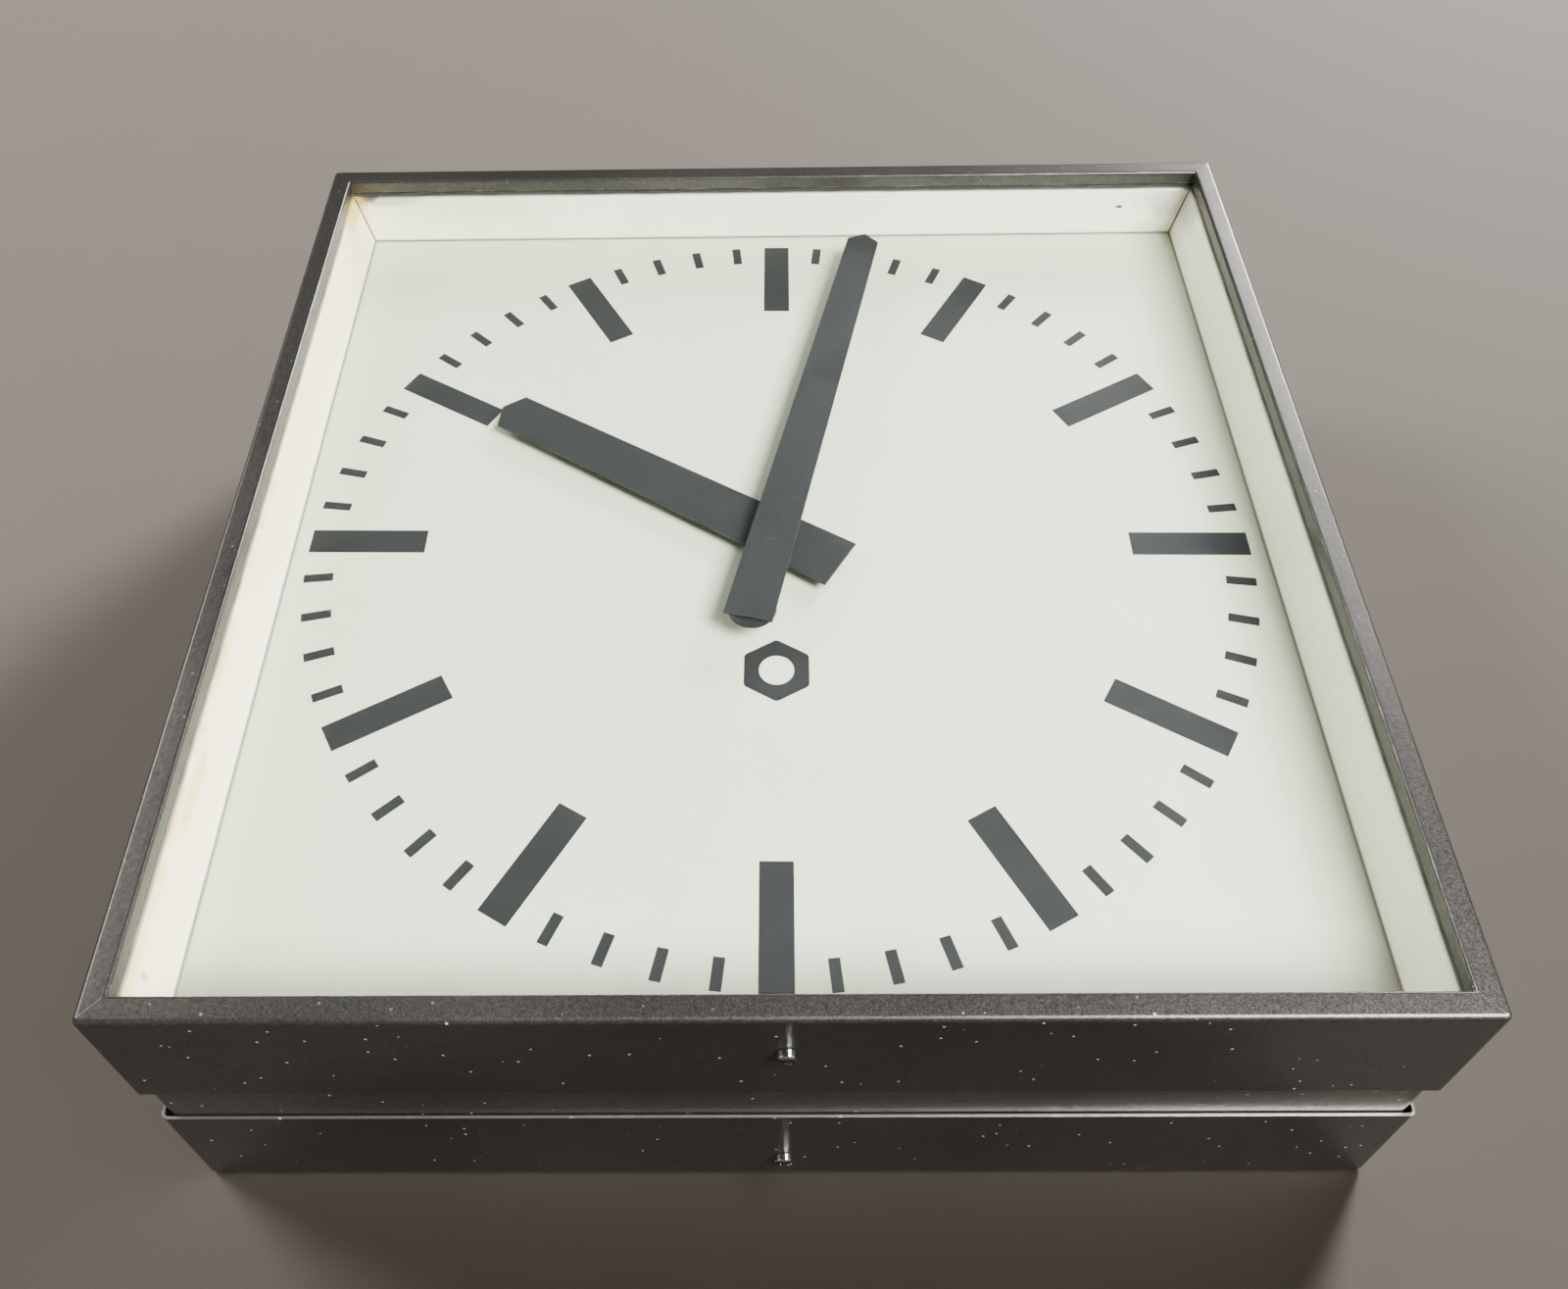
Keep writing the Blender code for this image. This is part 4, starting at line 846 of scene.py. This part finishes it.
def finish(name):
    """A finish by name, made the first time that it is asked for."""
    hues = settings().colours
    makers = {
        "cover": lambda: hammered_enamel("cover_grey_enamel", seams=True),
        # painted reflection: the case wall's grey is made 1.5 times lighter to stand in for the brighter
        # surroundings it reflects
        "hammered": lambda: hammered_enamel("case_grey_enamel", painted_lift=1.5),
        "tray": lambda: hammered_enamel("tray_grey_enamel", rubbed_rim=True),
        "strip": strip_enamel,
        "dial": dial_enamel,
        "hands": lambda: matt_grey("matt_hand_enamel", hues.hand, 0.55),
        "ink": lambda: matt_grey("matt_dial_ink", hues.ink, 0.0),
        "screw": lambda: plated("bright_screw_plating", hues.steel, 0.12, (900.0, 900.0, 300.0),
                                STEEL_TARNISH, 0.15),
        "steel": lambda: turned_metal("bright_turned_steel", hues.steel, 0.28, ARBOR_TARNISH, 0.2),
        "zinc": lambda: plated("yellowed_zinc_plating", hues.zinc, 0.38, (500.0, 60.0, 900.0),
                               ZINC_TARNISH, 0.6),
        "brass": lambda: plated("brushed_brass", hues.brass, 0.32, (60.0, 1500.0, 1500.0),
                                BRASS_TARNISH, 0.3),
        "turned_brass": lambda: turned_metal("turned_brass", hues.brass, 0.28, BRASS_TARNISH, 0.3),
        "glass": window_glass,
        "rubber": lambda: moulded("aged_black_rubber", screen(44, 44, 43), 0.72, screen(84, 82, 78),
                                  120.0, 0.5, 0.00010),
        "compound": lambda: moulded("set_glazing_compound", screen(50, 49, 45), 0.8, screen(34, 33, 30),
                                    90.0, 0.6, 0.00020),
        "iron": stacked_iron,
        "ferrite": lambda: moulded("sintered_ferrite", screen(62, 60, 59), 0.6, screen(40, 39, 38),
                                   200.0, 0.5, 0.00010),
        "bobbin": lambda: moulded("moulded_bobbin", screen(208, 194, 160), 0.45, screen(176, 150, 104),
                                  60.0, 0.5),
        "tape": wound_tape,
        "bakelite": lambda: moulded("mottled_brown_moulding", screen(64, 38, 26), 0.28, screen(100, 58, 34),
                                    110.0, 0.7, 0.00003, Coat_Weight=0.4, Coat_Roughness=0.15),
        "lead_wire": lambda: moulded("red_lead_insulation", screen(150, 44, 36), 0.42, screen(104, 30, 26),
                                     130.0, 0.5, 0.00003),
    }
    if name not in FINISHES:
        FINISHES[name] = makers[name]()
    return FINISHES[name]


# ---------------------------------------------------------------- the pieces, one operator for each kind
# lengths of the cutters through a wall and through the tray's back, and the foot hole's radius
WALL_CUT = 0.008
BACK_CUT = 0.006
FOOT_HOLE = 0.003


def at_corner(half):
    """Edges that run along Y at a square's corners."""
    return lambda e: runs_along(e, 1) and near(abs(middle(e).x), half) and near(abs(middle(e).z), half)


def on_outline(half, inset, depth):
    """Edges of a square's outline at one depth, with any rounding of its corners less than the inset."""
    def test(edge):
        return all(near(-v.co.y, depth) and half - inset < max(abs(v.co.x), abs(v.co.z)) < half + 0.0001
                   for v in edge.verts)
    return test


def open_box(name, half, rear, front, open_ends, radius, segments):
    """A square box with rounded upright corners, open in front (-1) or behind (1), left in edit mode."""
    ob = add_cube(name, (-half, -front, -half), (half, -rear, half))
    edit(ob)
    pick('FACE', lambda f: any(f.normal.y * end > 0.9 for end in open_ends))
    bpy.ops.mesh.delete(type='FACE')
    round_edges(at_corner(half), radius, segments)
    return ob


def face_the_front(ob):
    """Turns an open sheet's faces towards the viewer, so that its thickness goes behind them."""
    if sum(f.normal.y * f.area for f in ob.data.polygons) > 0:
        ob.data.flip_normals()


def thicken(ob, sheet):
    fit_modifier(ob, 'SOLIDIFY', thickness=sheet, offset=-1.0, use_even_offset=True)


def drill_side(ob, half, depth, side):
    """The hole for a side screw, through the wall at the top (side 1) or at the bottom (side -1)."""
    radius = settings().shell.screw_hole
    cut(ob, add_cylinder("screw_hole", radius, (0.0, -depth, side * half), WALL_CUT, 'Z', 40))


def finish_shell(ob, kind, body, node_name):
    """Softens and smooths a sheet-steel shell, and hands it over."""
    soften(ob, settings().shell.rim, 2, 40)
    smooth(ob)
    hand_over(ob, finish(kind), body, "hammered_grey", node_name)


def slot_cutter(name, low, high, up, radius):
    """A slot's cutter along Y, with its end at the top (up 1) or at the bottom (up -1) made round."""
    ob = add_cube(name, low, high)
    end = high[2] if up > 0 else low[2]
    round_piece(ob, lambda e: runs_along(e, 1) and near(middle(e).z, end), radius * 0.999, 8)
    return ob


def draw_in(width, depth, old_radius, radius):
    """Moves the selected outline of a rounded square to a new half width, depth and corner radius."""
    mesh = bpy.context.object.data
    cage = bmesh.from_edit_mesh(mesh)
    outline = [v for v in cage.verts if v.select]
    old_width = max(abs(v.co.x) for v in outline)
    for v in outline:
        for axis in (0, 2):
            side = 1 if v.co[axis] > 0 else -1
            lean = (abs(v.co[axis]) - (old_width - old_radius)) / old_radius if old_radius > 0 else 1.0
            v.co[axis] = side * (width - radius + lean * radius)
        v.co.y = -depth
    bmesh.update_edit_mesh(mesh)
    return radius


class CLOCK_OT_cover_shell(bpy.types.Operator):
    """Model the cover: skirt, front flange and the lip that turns back to the glass"""
    bl_idname = "wall_clock.cover_shell"
    bl_label = "Cover Shell"

    def execute(self, context):
        sizes = settings().shell
        half = COVER_HALF
        edge, lip, inner = sizes.front_edge, sizes.lip_edge, half - sizes.lip_width
        ob = open_box("cover_shell", half, COVER_REAR, COVER_FRONT - edge, (-1, 1), sizes.corner, 6)
        pick('EDGE', lambda e: all(near(v.co.y, edge - COVER_FRONT) for v in e.verts))
        turns = [radians(18 * step) for step in range(1, 6)]
        section = [(half - edge * (1 - cos(a)), COVER_FRONT - edge * (1 - sin(a))) for a in turns]
        section += [(inner + lip * (1 - sin(a)), COVER_FRONT - lip * (1 - cos(a))) for a in [0.0] + turns]
        section.append((inner, COVER_FRONT - sizes.lip_depth))
        radius = sizes.corner
        for width, depth in section:
            bpy.ops.mesh.extrude_region_move(TRANSFORM_OT_translate={"value": (0.0, 0.0, 0.0)})
            radius = draw_in(width, depth, radius, max(sizes.corner - (half - width), 0.0))
        bpy.ops.mesh.select_all(action='SELECT')
        bpy.ops.mesh.remove_doubles(threshold=0.00001)
        bpy.ops.mesh.normals_make_consistent(inside=False)
        leave_edit()
        face_the_front(ob)
        thicken(ob, sizes.sheet)
        for side in (-1, 1):
            drill_side(ob, half, COVER_SCREW, side)
        finish_shell(ob, "cover", "cover", "cover_frame")
        return {'FINISHED'}


class CLOCK_OT_wall_tray(bpy.types.Operator):
    """Model the wall tray: back plate, low walls, keyholes, cable hole and foot hole"""
    bl_idname = "wall_clock.wall_tray"
    bl_label = "Wall Tray"

    def execute(self, context):
        sizes = settings().shell
        half = TRAY_HALF
        ob = open_box("tray_shell", half, TRAY_REAR, TRAY_FRONT, (-1,), sizes.corner, 6)
        round_edges(on_outline(half, sizes.corner * 1.1, TRAY_REAR), sizes.tray_edge, 5)
        leave_edit()
        thicken(ob, sizes.sheet)
        for side in (-1, 1):
            x, z, slot = side * sizes.key_across, sizes.key_height, sizes.slot / 2
            drill_side(ob, half, TRAY_SCREW, side)
            cut(ob, add_cylinder("keyhole", sizes.key_head, (x, 0.0, z), BACK_CUT, 'Y', 48))
            cut(ob, slot_cutter("key_slot", (x - slot, -BACK_CUT / 2, z),
                                (x + slot, BACK_CUT / 2, z + sizes.key_slot), 1, slot))
        cut(ob, add_cylinder("foot_hole", FOOT_HOLE, (0.0, 0.0, -sizes.foot_drop), BACK_CUT, 'Y', 40))
        cut(ob, add_cylinder("cable_hole", sizes.cable_hole, (CABLE_HOLE.x, 0.0, CABLE_HOLE.z), BACK_CUT,
                             'Y', 64))
        finish_shell(ob, "tray", "tray", "wall_tray")
        return {'FINISHED'}


class CLOCK_OT_case_wall(bpy.types.Operator):
    """Model the case wall: a square tube of sheet steel with open slots for the screws"""
    bl_idname = "wall_clock.case_wall"
    bl_label = "Case Wall"

    def execute(self, context):
        sizes = settings().shell
        half, slot = CASE_HALF, sizes.slot / 2
        ob = open_box("case_wall", half, CASE_REAR, CASE_FRONT, (-1, 1), sizes.case_corner, 8)
        leave_edit()
        thicken(ob, sizes.sheet)
        for side in (-1, 1):
            low, high = sorted((side * (half - 0.004), side * (half + 0.004)))
            for name, start, end in (("tray_slot", CASE_REAR - 0.004, TRAY_SCREW + slot),
                                     ("cover_slot", CASE_FRONT + 0.004, COVER_SCREW - slot)):
                near_y, far_y = sorted((-start, -end))
                cutter = add_cube(name, (-slot, near_y, low), (slot, far_y, high))
                round_piece(cutter, lambda e: runs_along(e, 2) and near(middle(e).y, -end), slot * 0.999, 8)
                cut(ob, cutter)
        finish_shell(ob, "hammered", "case", "case_body")
        return {'FINISHED'}


class CLOCK_OT_reflectors(bpy.types.Operator):
    """Model the four cream strips round the dial, each folded at its bend and mitred at the corners"""
    bl_idname = "wall_clock.reflectors"
    bl_label = "Reflector Strips"

    def execute(self, context):
        sizes = settings().dial
        foot = STRIP_REAR
        for name, axis, side, slot_notch in (("top", 2, 1, True), ("left", 0, -1, False),
                                             ("bottom", 2, -1, True), ("right", 0, 1, False)):
            ob = self.folded(sizes, "strip_" + name, axis, side, foot)
            if slot_notch:
                low, high = sorted((side * (sizes.bend + 0.0016), side * (STRIP_HALF + 0.003)))
                cut(ob, add_cube("nut_notch", (-0.0055, -STRIP_FRONT - 0.003, low),
                                 (0.0055, -STRIP_FRONT + 0.003, high)))
            smooth(ob)
            hand_over(ob, finish("strip"), "case", "cream_enamel", "reflector_" + name)
        return {'FINISHED'}

    def folded(self, sizes, name, axis, side, foot):
        """One strip: an edge at the dial, drawn out to the bend and then to the flange."""
        along = 2 - axis
        own = sizes.foot_top if axis == 2 else sizes.foot_side
        other = sizes.foot_side if axis == 2 else sizes.foot_top
        bpy.ops.object.select_all(action='DESELECT')
        bpy.ops.mesh.primitive_plane_add(size=1, location=(0, -foot, 0), rotation=(pi / 2, 0, 0))
        ob = new_piece(name)
        edit(ob)
        pick('VERT', lambda v: near(v.co[axis], -side * 0.5))
        bpy.ops.mesh.delete(type='VERT')
        pick('VERT', lambda v: True)
        self.place(axis, side * own, along, other - 2 * sizes.mitre, foot)
        for half, depth in ((sizes.bend, STRIP_FRONT), (STRIP_HALF, STRIP_FRONT)):
            bpy.ops.mesh.extrude_region_move(TRANSFORM_OT_translate={"value": (0.0, 0.0, 0.0)})
            self.place(axis, side * half, along, half - 2 * sizes.mitre, depth)
        pick('EDGE', lambda e: runs_along(e, along) and near(abs(middle(e)[axis]), sizes.bend))
        bpy.ops.mesh.bevel(offset=sizes.bend_radius, segments=6, affect='EDGES', clamp_overlap=False)
        bpy.ops.mesh.select_all(action='SELECT')
        bpy.ops.mesh.normals_make_consistent(inside=False)
        leave_edit()
        face_the_front(ob)
        thicken(ob, sizes.strip_sheet)
        return ob

    def place(self, axis, across, along, half, depth):
        """Puts the two selected vertices at one distance, either side of the middle."""
        cage = bmesh.from_edit_mesh(bpy.context.object.data)
        for v in cage.verts:
            if v.select:
                v.co[axis] = across
                v.co[along] = half if v.co[along] > 0 else -half
                v.co.y = -depth
        bmesh.update_edit_mesh(bpy.context.object.data)


def clockwise(angle):
    """A turn about the dial's centre, clockwise as seen from the front."""
    return Matrix.Rotation(angle, 4, 'Y')


MARK_CORNER = 0.00025
EMBLEM_CORNER = 0.0012


class CLOCK_OT_dial_print(bpy.types.Operator):
    """Print the dial: twelve long marks, forty-eight short ones and one plain hexagon"""
    bl_idname = "wall_clock.dial_print"
    bl_label = "Dial Print"

    def execute(self, context):
        sizes = settings().dial
        low, high = -DIAL_FRONT - sizes.film, -DIAL_FRONT
        hour = add_cube("hour_mark", (-sizes.hour_width / 2, low, sizes.ring - sizes.hour_length),
                        (sizes.hour_width / 2, high, sizes.ring))
        minute = add_cube("minute_mark", (-sizes.minute_width / 2, low, sizes.ring - sizes.minute_length),
                          (sizes.minute_width / 2, high, sizes.ring))
        for mark in (hour, minute):
            round_piece(mark, lambda e: runs_along(e, 1), MARK_CORNER, 3)
        marks = []
        for step in range(60):
            model, name = (minute, "minute_mark_%02d") if step % 5 else (hour, "hour_mark_%02d")
            marks.append(copy_of(model, name % step, clockwise(radians(6 * step) + sizes.set_turn)))
        for mark in (hour, minute):
            bpy.data.objects.remove(mark, do_unlink=True)
        ring = join(marks, "dial_marks")
        smooth(ring)
        hand_over(ring, finish("ink"), "case", "hand_grey")

        emblem = add_cylinder("dial_emblem", sizes.emblem, (0, (low + high) / 2, -sizes.emblem_drop),
                              high - low, 'Y', 6)
        round_piece(emblem, lambda e: runs_along(e, 1), EMBLEM_CORNER, 4)
        cut(emblem, add_cylinder("emblem_hole", sizes.emblem_hole, (0, low, -sizes.emblem_drop), 0.004,
                                 'Y', 64))
        emblem.data.transform(clockwise(sizes.set_turn))
        smooth(emblem)
        hand_over(emblem, finish("ink"), "case", "hand_grey")
        return {'FINISHED'}


class CLOCK_OT_hands(bpy.types.Operator):
    """Model the hour and minute hands from strips of sheet, tapered and shouldered"""
    bl_idname = "wall_clock.hands"
    bl_label = "Hands"

    def execute(self, context):
        sizes = settings().hands
        hour = self.blank("hour_hand_sheet", HOUR_REAR, HOUR_FRONT, sizes.hour_tip, sizes.hour_shoulder,
                          sizes.hour_tail, sizes.hour_narrow, sizes.hour_wide)
        cut(hour, add_cylinder("pipe_hole", sizes.pipe_hole, (0, -HOUR_FRONT, 0), 0.008, 'Y', 48))
        minute = self.blank("minute_hand_sheet", MINUTE_REAR, MINUTE_FRONT, sizes.minute_tip,
                            sizes.minute_shoulder, sizes.minute_tail, sizes.minute_narrow, sizes.minute_wide)
        for ob, angle, name in ((hour, sizes.hour_angle, "hour"), (minute, sizes.minute_angle, "minute")):
            soften(ob, sizes.edge, 3, 30)
            ob.data.transform(clockwise(angle))
            smooth(ob)
            hand_over(ob, finish("hands"), name, "hand_grey", name + "_hand")
        return {'FINISHED'}

    def blank(self, name, rear, front, tip, shoulder, tail, narrow, wide):
        """A flat bar from tail to shoulder, narrowed, and drawn out to a blunt point."""
        ob = add_cube(name, (-wide, -front, -tail), (wide, -rear, shoulder))
        edit(ob)
        pick('FACE', faces_towards(2, 1))
        bpy.ops.transform.resize(value=(narrow / wide, 1.0, 1.0), center_override=(0.0, 0.0, shoulder))
        bpy.ops.mesh.extrude_region_move(TRANSFORM_OT_translate={"value": (0.0, 0.0, tip - shoulder)})
        bpy.ops.transform.resize(value=(0.02, 1.0, 1.0), center_override=(0.0, 0.0, tip))
        leave_edit()
        return ob


# the head's end is this much of its width at the seat, and half the driver slot's width and its depth
HEAD_TAPER = 0.9
DRIVER_SLOT_HALF = 0.0005
DRIVER_SLOT_DEPTH = 0.0012
# body, side (1 top, -1 bottom) and the angle of the driver slot in degrees, for each side screw
SCREW_TURNS = (("cover", 1, 8), ("cover", -1, -6), ("tray", 1, 20), ("tray", -1, -12))


class CLOCK_OT_side_screws(bpy.types.Operator):
    """Model one slotted cheese-head screw, and set a copy at each of its four places"""
    bl_idname = "wall_clock.side_screws"
    bl_label = "Side Screws"

    def execute(self, context):
        sizes = settings().shell
        low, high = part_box("tray_screw_top")
        height = sizes.head_height
        screw = add_cylinder("side_screw", sizes.head, (0, 0, height / 2), height, 'Z', 48)
        edit(screw)
        pick('FACE', faces_towards(2, 1))
        bpy.ops.transform.resize(value=(HEAD_TAPER, HEAD_TAPER, 1.0))
        round_edges(lambda e: all(near(v.co.z, height) for v in e.verts), sizes.head_edge, 4)
        pick('FACE', faces_towards(2, -1))
        bpy.ops.mesh.inset(thickness=sizes.head - sizes.shank, depth=0.0)
        shank_end = low.z - (high.z - height)
        bpy.ops.mesh.extrude_region_move(TRANSFORM_OT_translate={"value": (0.0, 0.0, shank_end)})
        leave_edit()
        cut(screw, add_cube("driver_slot", (-0.006, -DRIVER_SLOT_HALF, height - DRIVER_SLOT_DEPTH),
                            (0.006, DRIVER_SLOT_HALF, 0.006)))
        soften(screw, 0.00012, 2, 35)
        smooth(screw, 30)
        for kind, side, angle in SCREW_TURNS:
            node_name = "%s_screw_%s" % (kind, "top" if side > 0 else "bottom")
            corner_low, corner_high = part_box(node_name)
            depth = -(corner_low.y + corner_high.y) / 2
            rest = corner_high.z - height if side > 0 else corner_low.z + height
            place = Matrix.Translation((0, -depth, rest))
            if side < 0:
                place = place @ Matrix.Rotation(pi, 4, 'X')
            ob = copy_of(screw, node_name.replace("screw", "side_screw"),
                         place @ Matrix.Rotation(radians(angle), 4, 'Z'))
            smooth(ob, 30)
            hand_over(ob, finish("screw"), kind, "bright_steel", node_name)
        bpy.data.objects.remove(screw, do_unlink=True)
        return {'FINISHED'}


class CLOCK_OT_glass_and_dial(bpy.types.Operator):
    """Give the glass, its compound, the dial and the pieces behind it their finishes"""
    bl_idname = "wall_clock.glass_and_dial"
    bl_label = "Glass and Dial"

    def execute(self, context):
        dress({"glass": ["cover_glass"], "dial": ["dial_plate"], "compound": ["glazing_bead"],
               "rubber": ["cable_grommet"], "zinc": ["dial_frame", "movement_bridge", "bridge_screw_*",
                                                     "tray_nut_*", "cover_nut_*"]})
        return {'FINISHED'}


class CLOCK_OT_movement(bpy.types.Operator):
    """Give every piece of the movement its finish"""
    bl_idname = "wall_clock.movement"
    bl_label = "Movement"

    def execute(self, context):
        dress({"brass": ["front_plate", "rear_plate"],
               "turned_brass": ["centre_wheel", "minute_wheel", "hour_wheel", "hour_hand_boss",
                                "minute_hand_boss", "terminal_screw_*", "plate_pillar_*"],
               "steel": ["rotor_arbor", "centre_arbor", "cannon_pinion", "minute_wheel_post"],
               "zinc": ["movement_standoff_*", "plate_nut_*", "yoke_screw_*"],
               "hands": ["minute_counterweight"], "iron": ["stator_yoke"], "ferrite": ["rotor_magnet"],
               "bobbin": ["coil_bobbin"], "tape": ["coil_winding"], "bakelite": ["terminal_block"],
               "lead_wire": ["coil_lead_*"]})
        return {'FINISHED'}


def dress(plan):
    """Puts a finish on each frame node that a plan names; a name may end in *."""
    for kind, names in plan.items():
        for name in names:
            chosen = [ob for key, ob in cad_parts.items()
                      if key == name or (name.endswith("*") and key.startswith(name[:-1]))]
            if not chosen:
                raise RuntimeError("the frame has no node called " + name)
            for ob in chosen:
                ob.data.materials.clear()
                ob.data.materials.append(finish(kind))


# name, place and width of each lamp, in metres; its power is the setting of the same name
LAMPS = (("key", (2.0, -1.6, 2.8), 1.0), ("front", (1.4, -2.3, -0.9), 1.3),
         ("fill", (-2.3, -2.0, 1.3), 1.2), ("rear", (0.5, 2.4, 0.8), 2.4))
CAMERA_SHIFT = (0.0285, -0.0667)
CAMERA_FORWARD = (-0.013334, 0.759907, 0.649895)
CAMERA_RIGHT = (0.999878, 0.015438, 0.002463)


class CLOCK_OT_stage(bpy.types.Operator):
    """Set the plain wall and floor, the soft lamps and the camera"""
    bl_idname = "wall_clock.stage"
    bl_label = "Stage"

    def execute(self, context):
        stage = settings().stage
        sheets = (self.backdrop("back_wall", stage.wall, (0, 0.0006, 0.0), (pi / 2, 0, 0), 8.0),
                  self.backdrop("floor", stage.floor, (0, 0.0, -1.5), (0, 0, 0), 3.4))
        self.dome(stage)
        lamps = {name: self.lamp(name + "_lamp", getattr(stage, name), place, width)
                 for name, place, width in LAMPS}
        self.keep_off(lamps["front"], sheets)
        camera = bpy.data.cameras.new("camera")
        camera.lens, camera.sensor_width = stage.lens, 36.0
        camera.shift_x, camera.shift_y = CAMERA_SHIFT
        camera.clip_start, camera.clip_end = 0.01, 60.0
        eye = bpy.data.objects.new("camera", camera)
        forward, right = Vector(CAMERA_FORWARD), Vector(CAMERA_RIGHT)
        up = right.cross(forward)
        turn_matrix = Matrix((right, up, -forward)).transposed().to_4x4()
        eye.matrix_world = Matrix.Translation(Vector(stage.eye)) @ turn_matrix
        context.scene.collection.objects.link(eye)
        context.scene.camera = eye
        return {'FINISHED'}

    def backdrop(self, name, hue, place, rotation, width):
        """A plain sheet that only its front shows, so that the clock's back can be seen through it."""
        bpy.ops.object.select_all(action='DESELECT')
        bpy.ops.mesh.primitive_plane_add(size=width, location=place, rotation=rotation)
        ob = new_piece(name)
        finish_made, tree, shader, where = new_finish(name, 0.85)
        tone = mottle(tree, where, 2.0, 30.0, 0.03)
        tree.links.new(toned(tree, opaque(hue), tone), shader["Base Color"])
        behind = node(tree, 'ShaderNodeNewGeometry').outputs['Backfacing']
        clear = node(tree, 'ShaderNodeBsdfTransparent').outputs[0]
        mix = node(tree, 'ShaderNodeMixShader', (behind, tree.nodes["Principled BSDF"].outputs[0], clear))
        tree.links.new(mix.outputs[0], tree.nodes["Material Output"].inputs['Surface'])
        ob.data.materials.append(finish_made)
        ob.visible_shadow = False
        return ob

    def lamp(self, name, power, place, width):
        data = bpy.data.lights.new(name, 'AREA')
        data.energy, data.size, data.shape = power, width, 'SQUARE'
        ob = bpy.data.objects.new(name, data)
        ob.location = place
        ob.rotation_euler = (-Vector(place)).to_track_quat('-Z', 'Y').to_euler()
        bpy.context.scene.collection.objects.link(ob)
        return ob

    def keep_off(self, lamp, sheets):
        """The low lamp lights the clock and not the backdrop, as a flagged lamp does."""
        flagged = bpy.data.collections.new("flagged_from_" + lamp.name)
        for ob in sheets:
            flagged.objects.link(ob)
        for entry in flagged.collection_objects:
            entry.light_linking.link_state = 'EXCLUDE'
        lamp.light_linking.receiver_collection = flagged

    def dome(self, stage):
        """Soft light all round: bright above and in front, dim behind and below."""
        world = bpy.data.worlds.new("soft_dome")
        world.use_nodes = True
        bpy.context.scene.world = world
        tree = world.node_tree
        way = node(tree, 'ShaderNodeNewGeometry').outputs['Normal']
        x, y, z = node(tree, 'ShaderNodeSeparateXYZ', (way,)).outputs
        overhead = ramp(tree, z, 0.84, 0.98)
        sideways = times(tree, ramp(tree, maths(tree, 'ABSOLUTE', x), 0.5, 0.9),
                         ramp(tree, z, -0.2, 0.4))
        front = ramp(tree, times(tree, y, -1.0), 0.0, 0.6, 0.05, 0.24)
        amount = maths(tree, 'MAXIMUM', front, maths(tree, 'MAXIMUM', overhead,
                                                     times(tree, sideways, 0.6)))
        background = tree.nodes["Background"]
        background.inputs['Color'].default_value = opaque(screen(250, 249, 246))
        tree.links.new(times(tree, amount, stage.dome), background.inputs['Strength'])


class CLOCK_PT_panel(bpy.types.Panel):
    """Lists the steps that build the clock"""
    bl_idname = "CLOCK_PT_panel"
    bl_label = "Wall Clock"
    bl_space_type = 'VIEW_3D'
    bl_region_type = 'UI'
    bl_category = "Wall Clock"

    def draw(self, context):
        for step in STEPS:
            self.layout.operator(step.bl_idname)


STEPS = (CLOCK_OT_stage, CLOCK_OT_cover_shell, CLOCK_OT_wall_tray, CLOCK_OT_case_wall,
         CLOCK_OT_reflectors, CLOCK_OT_dial_print, CLOCK_OT_hands, CLOCK_OT_side_screws,
         CLOCK_OT_glass_and_dial, CLOCK_OT_movement)
CLASSES = (ShellSizes, DialSizes, HandSizes, ClockColours, StageSettings, ClockSettings, *STEPS,
           CLOCK_PT_panel)


def register():
    for kind in CLASSES:
        bpy.utils.register_class(kind)
    bpy.types.Scene.wall_clock = PointerProperty(type=ClockSettings, name="Wall Clock",
                                                 description="Sizes, colours and stage of the wall clock")


def unregister():
    del bpy.types.Scene.wall_clock
    for kind in reversed(CLASSES):
        bpy.utils.unregister_class(kind)


def main():
    register()
    for step in (bpy.ops.wall_clock.stage, bpy.ops.wall_clock.cover_shell, bpy.ops.wall_clock.wall_tray,
                 bpy.ops.wall_clock.case_wall, bpy.ops.wall_clock.reflectors, bpy.ops.wall_clock.dial_print,
                 bpy.ops.wall_clock.hands, bpy.ops.wall_clock.side_screws, bpy.ops.wall_clock.glass_and_dial,
                 bpy.ops.wall_clock.movement):
        if step() != {'FINISHED'}:
            raise RuntimeError("a step of the clock did not finish")


if __name__ == "__main__":
    main()
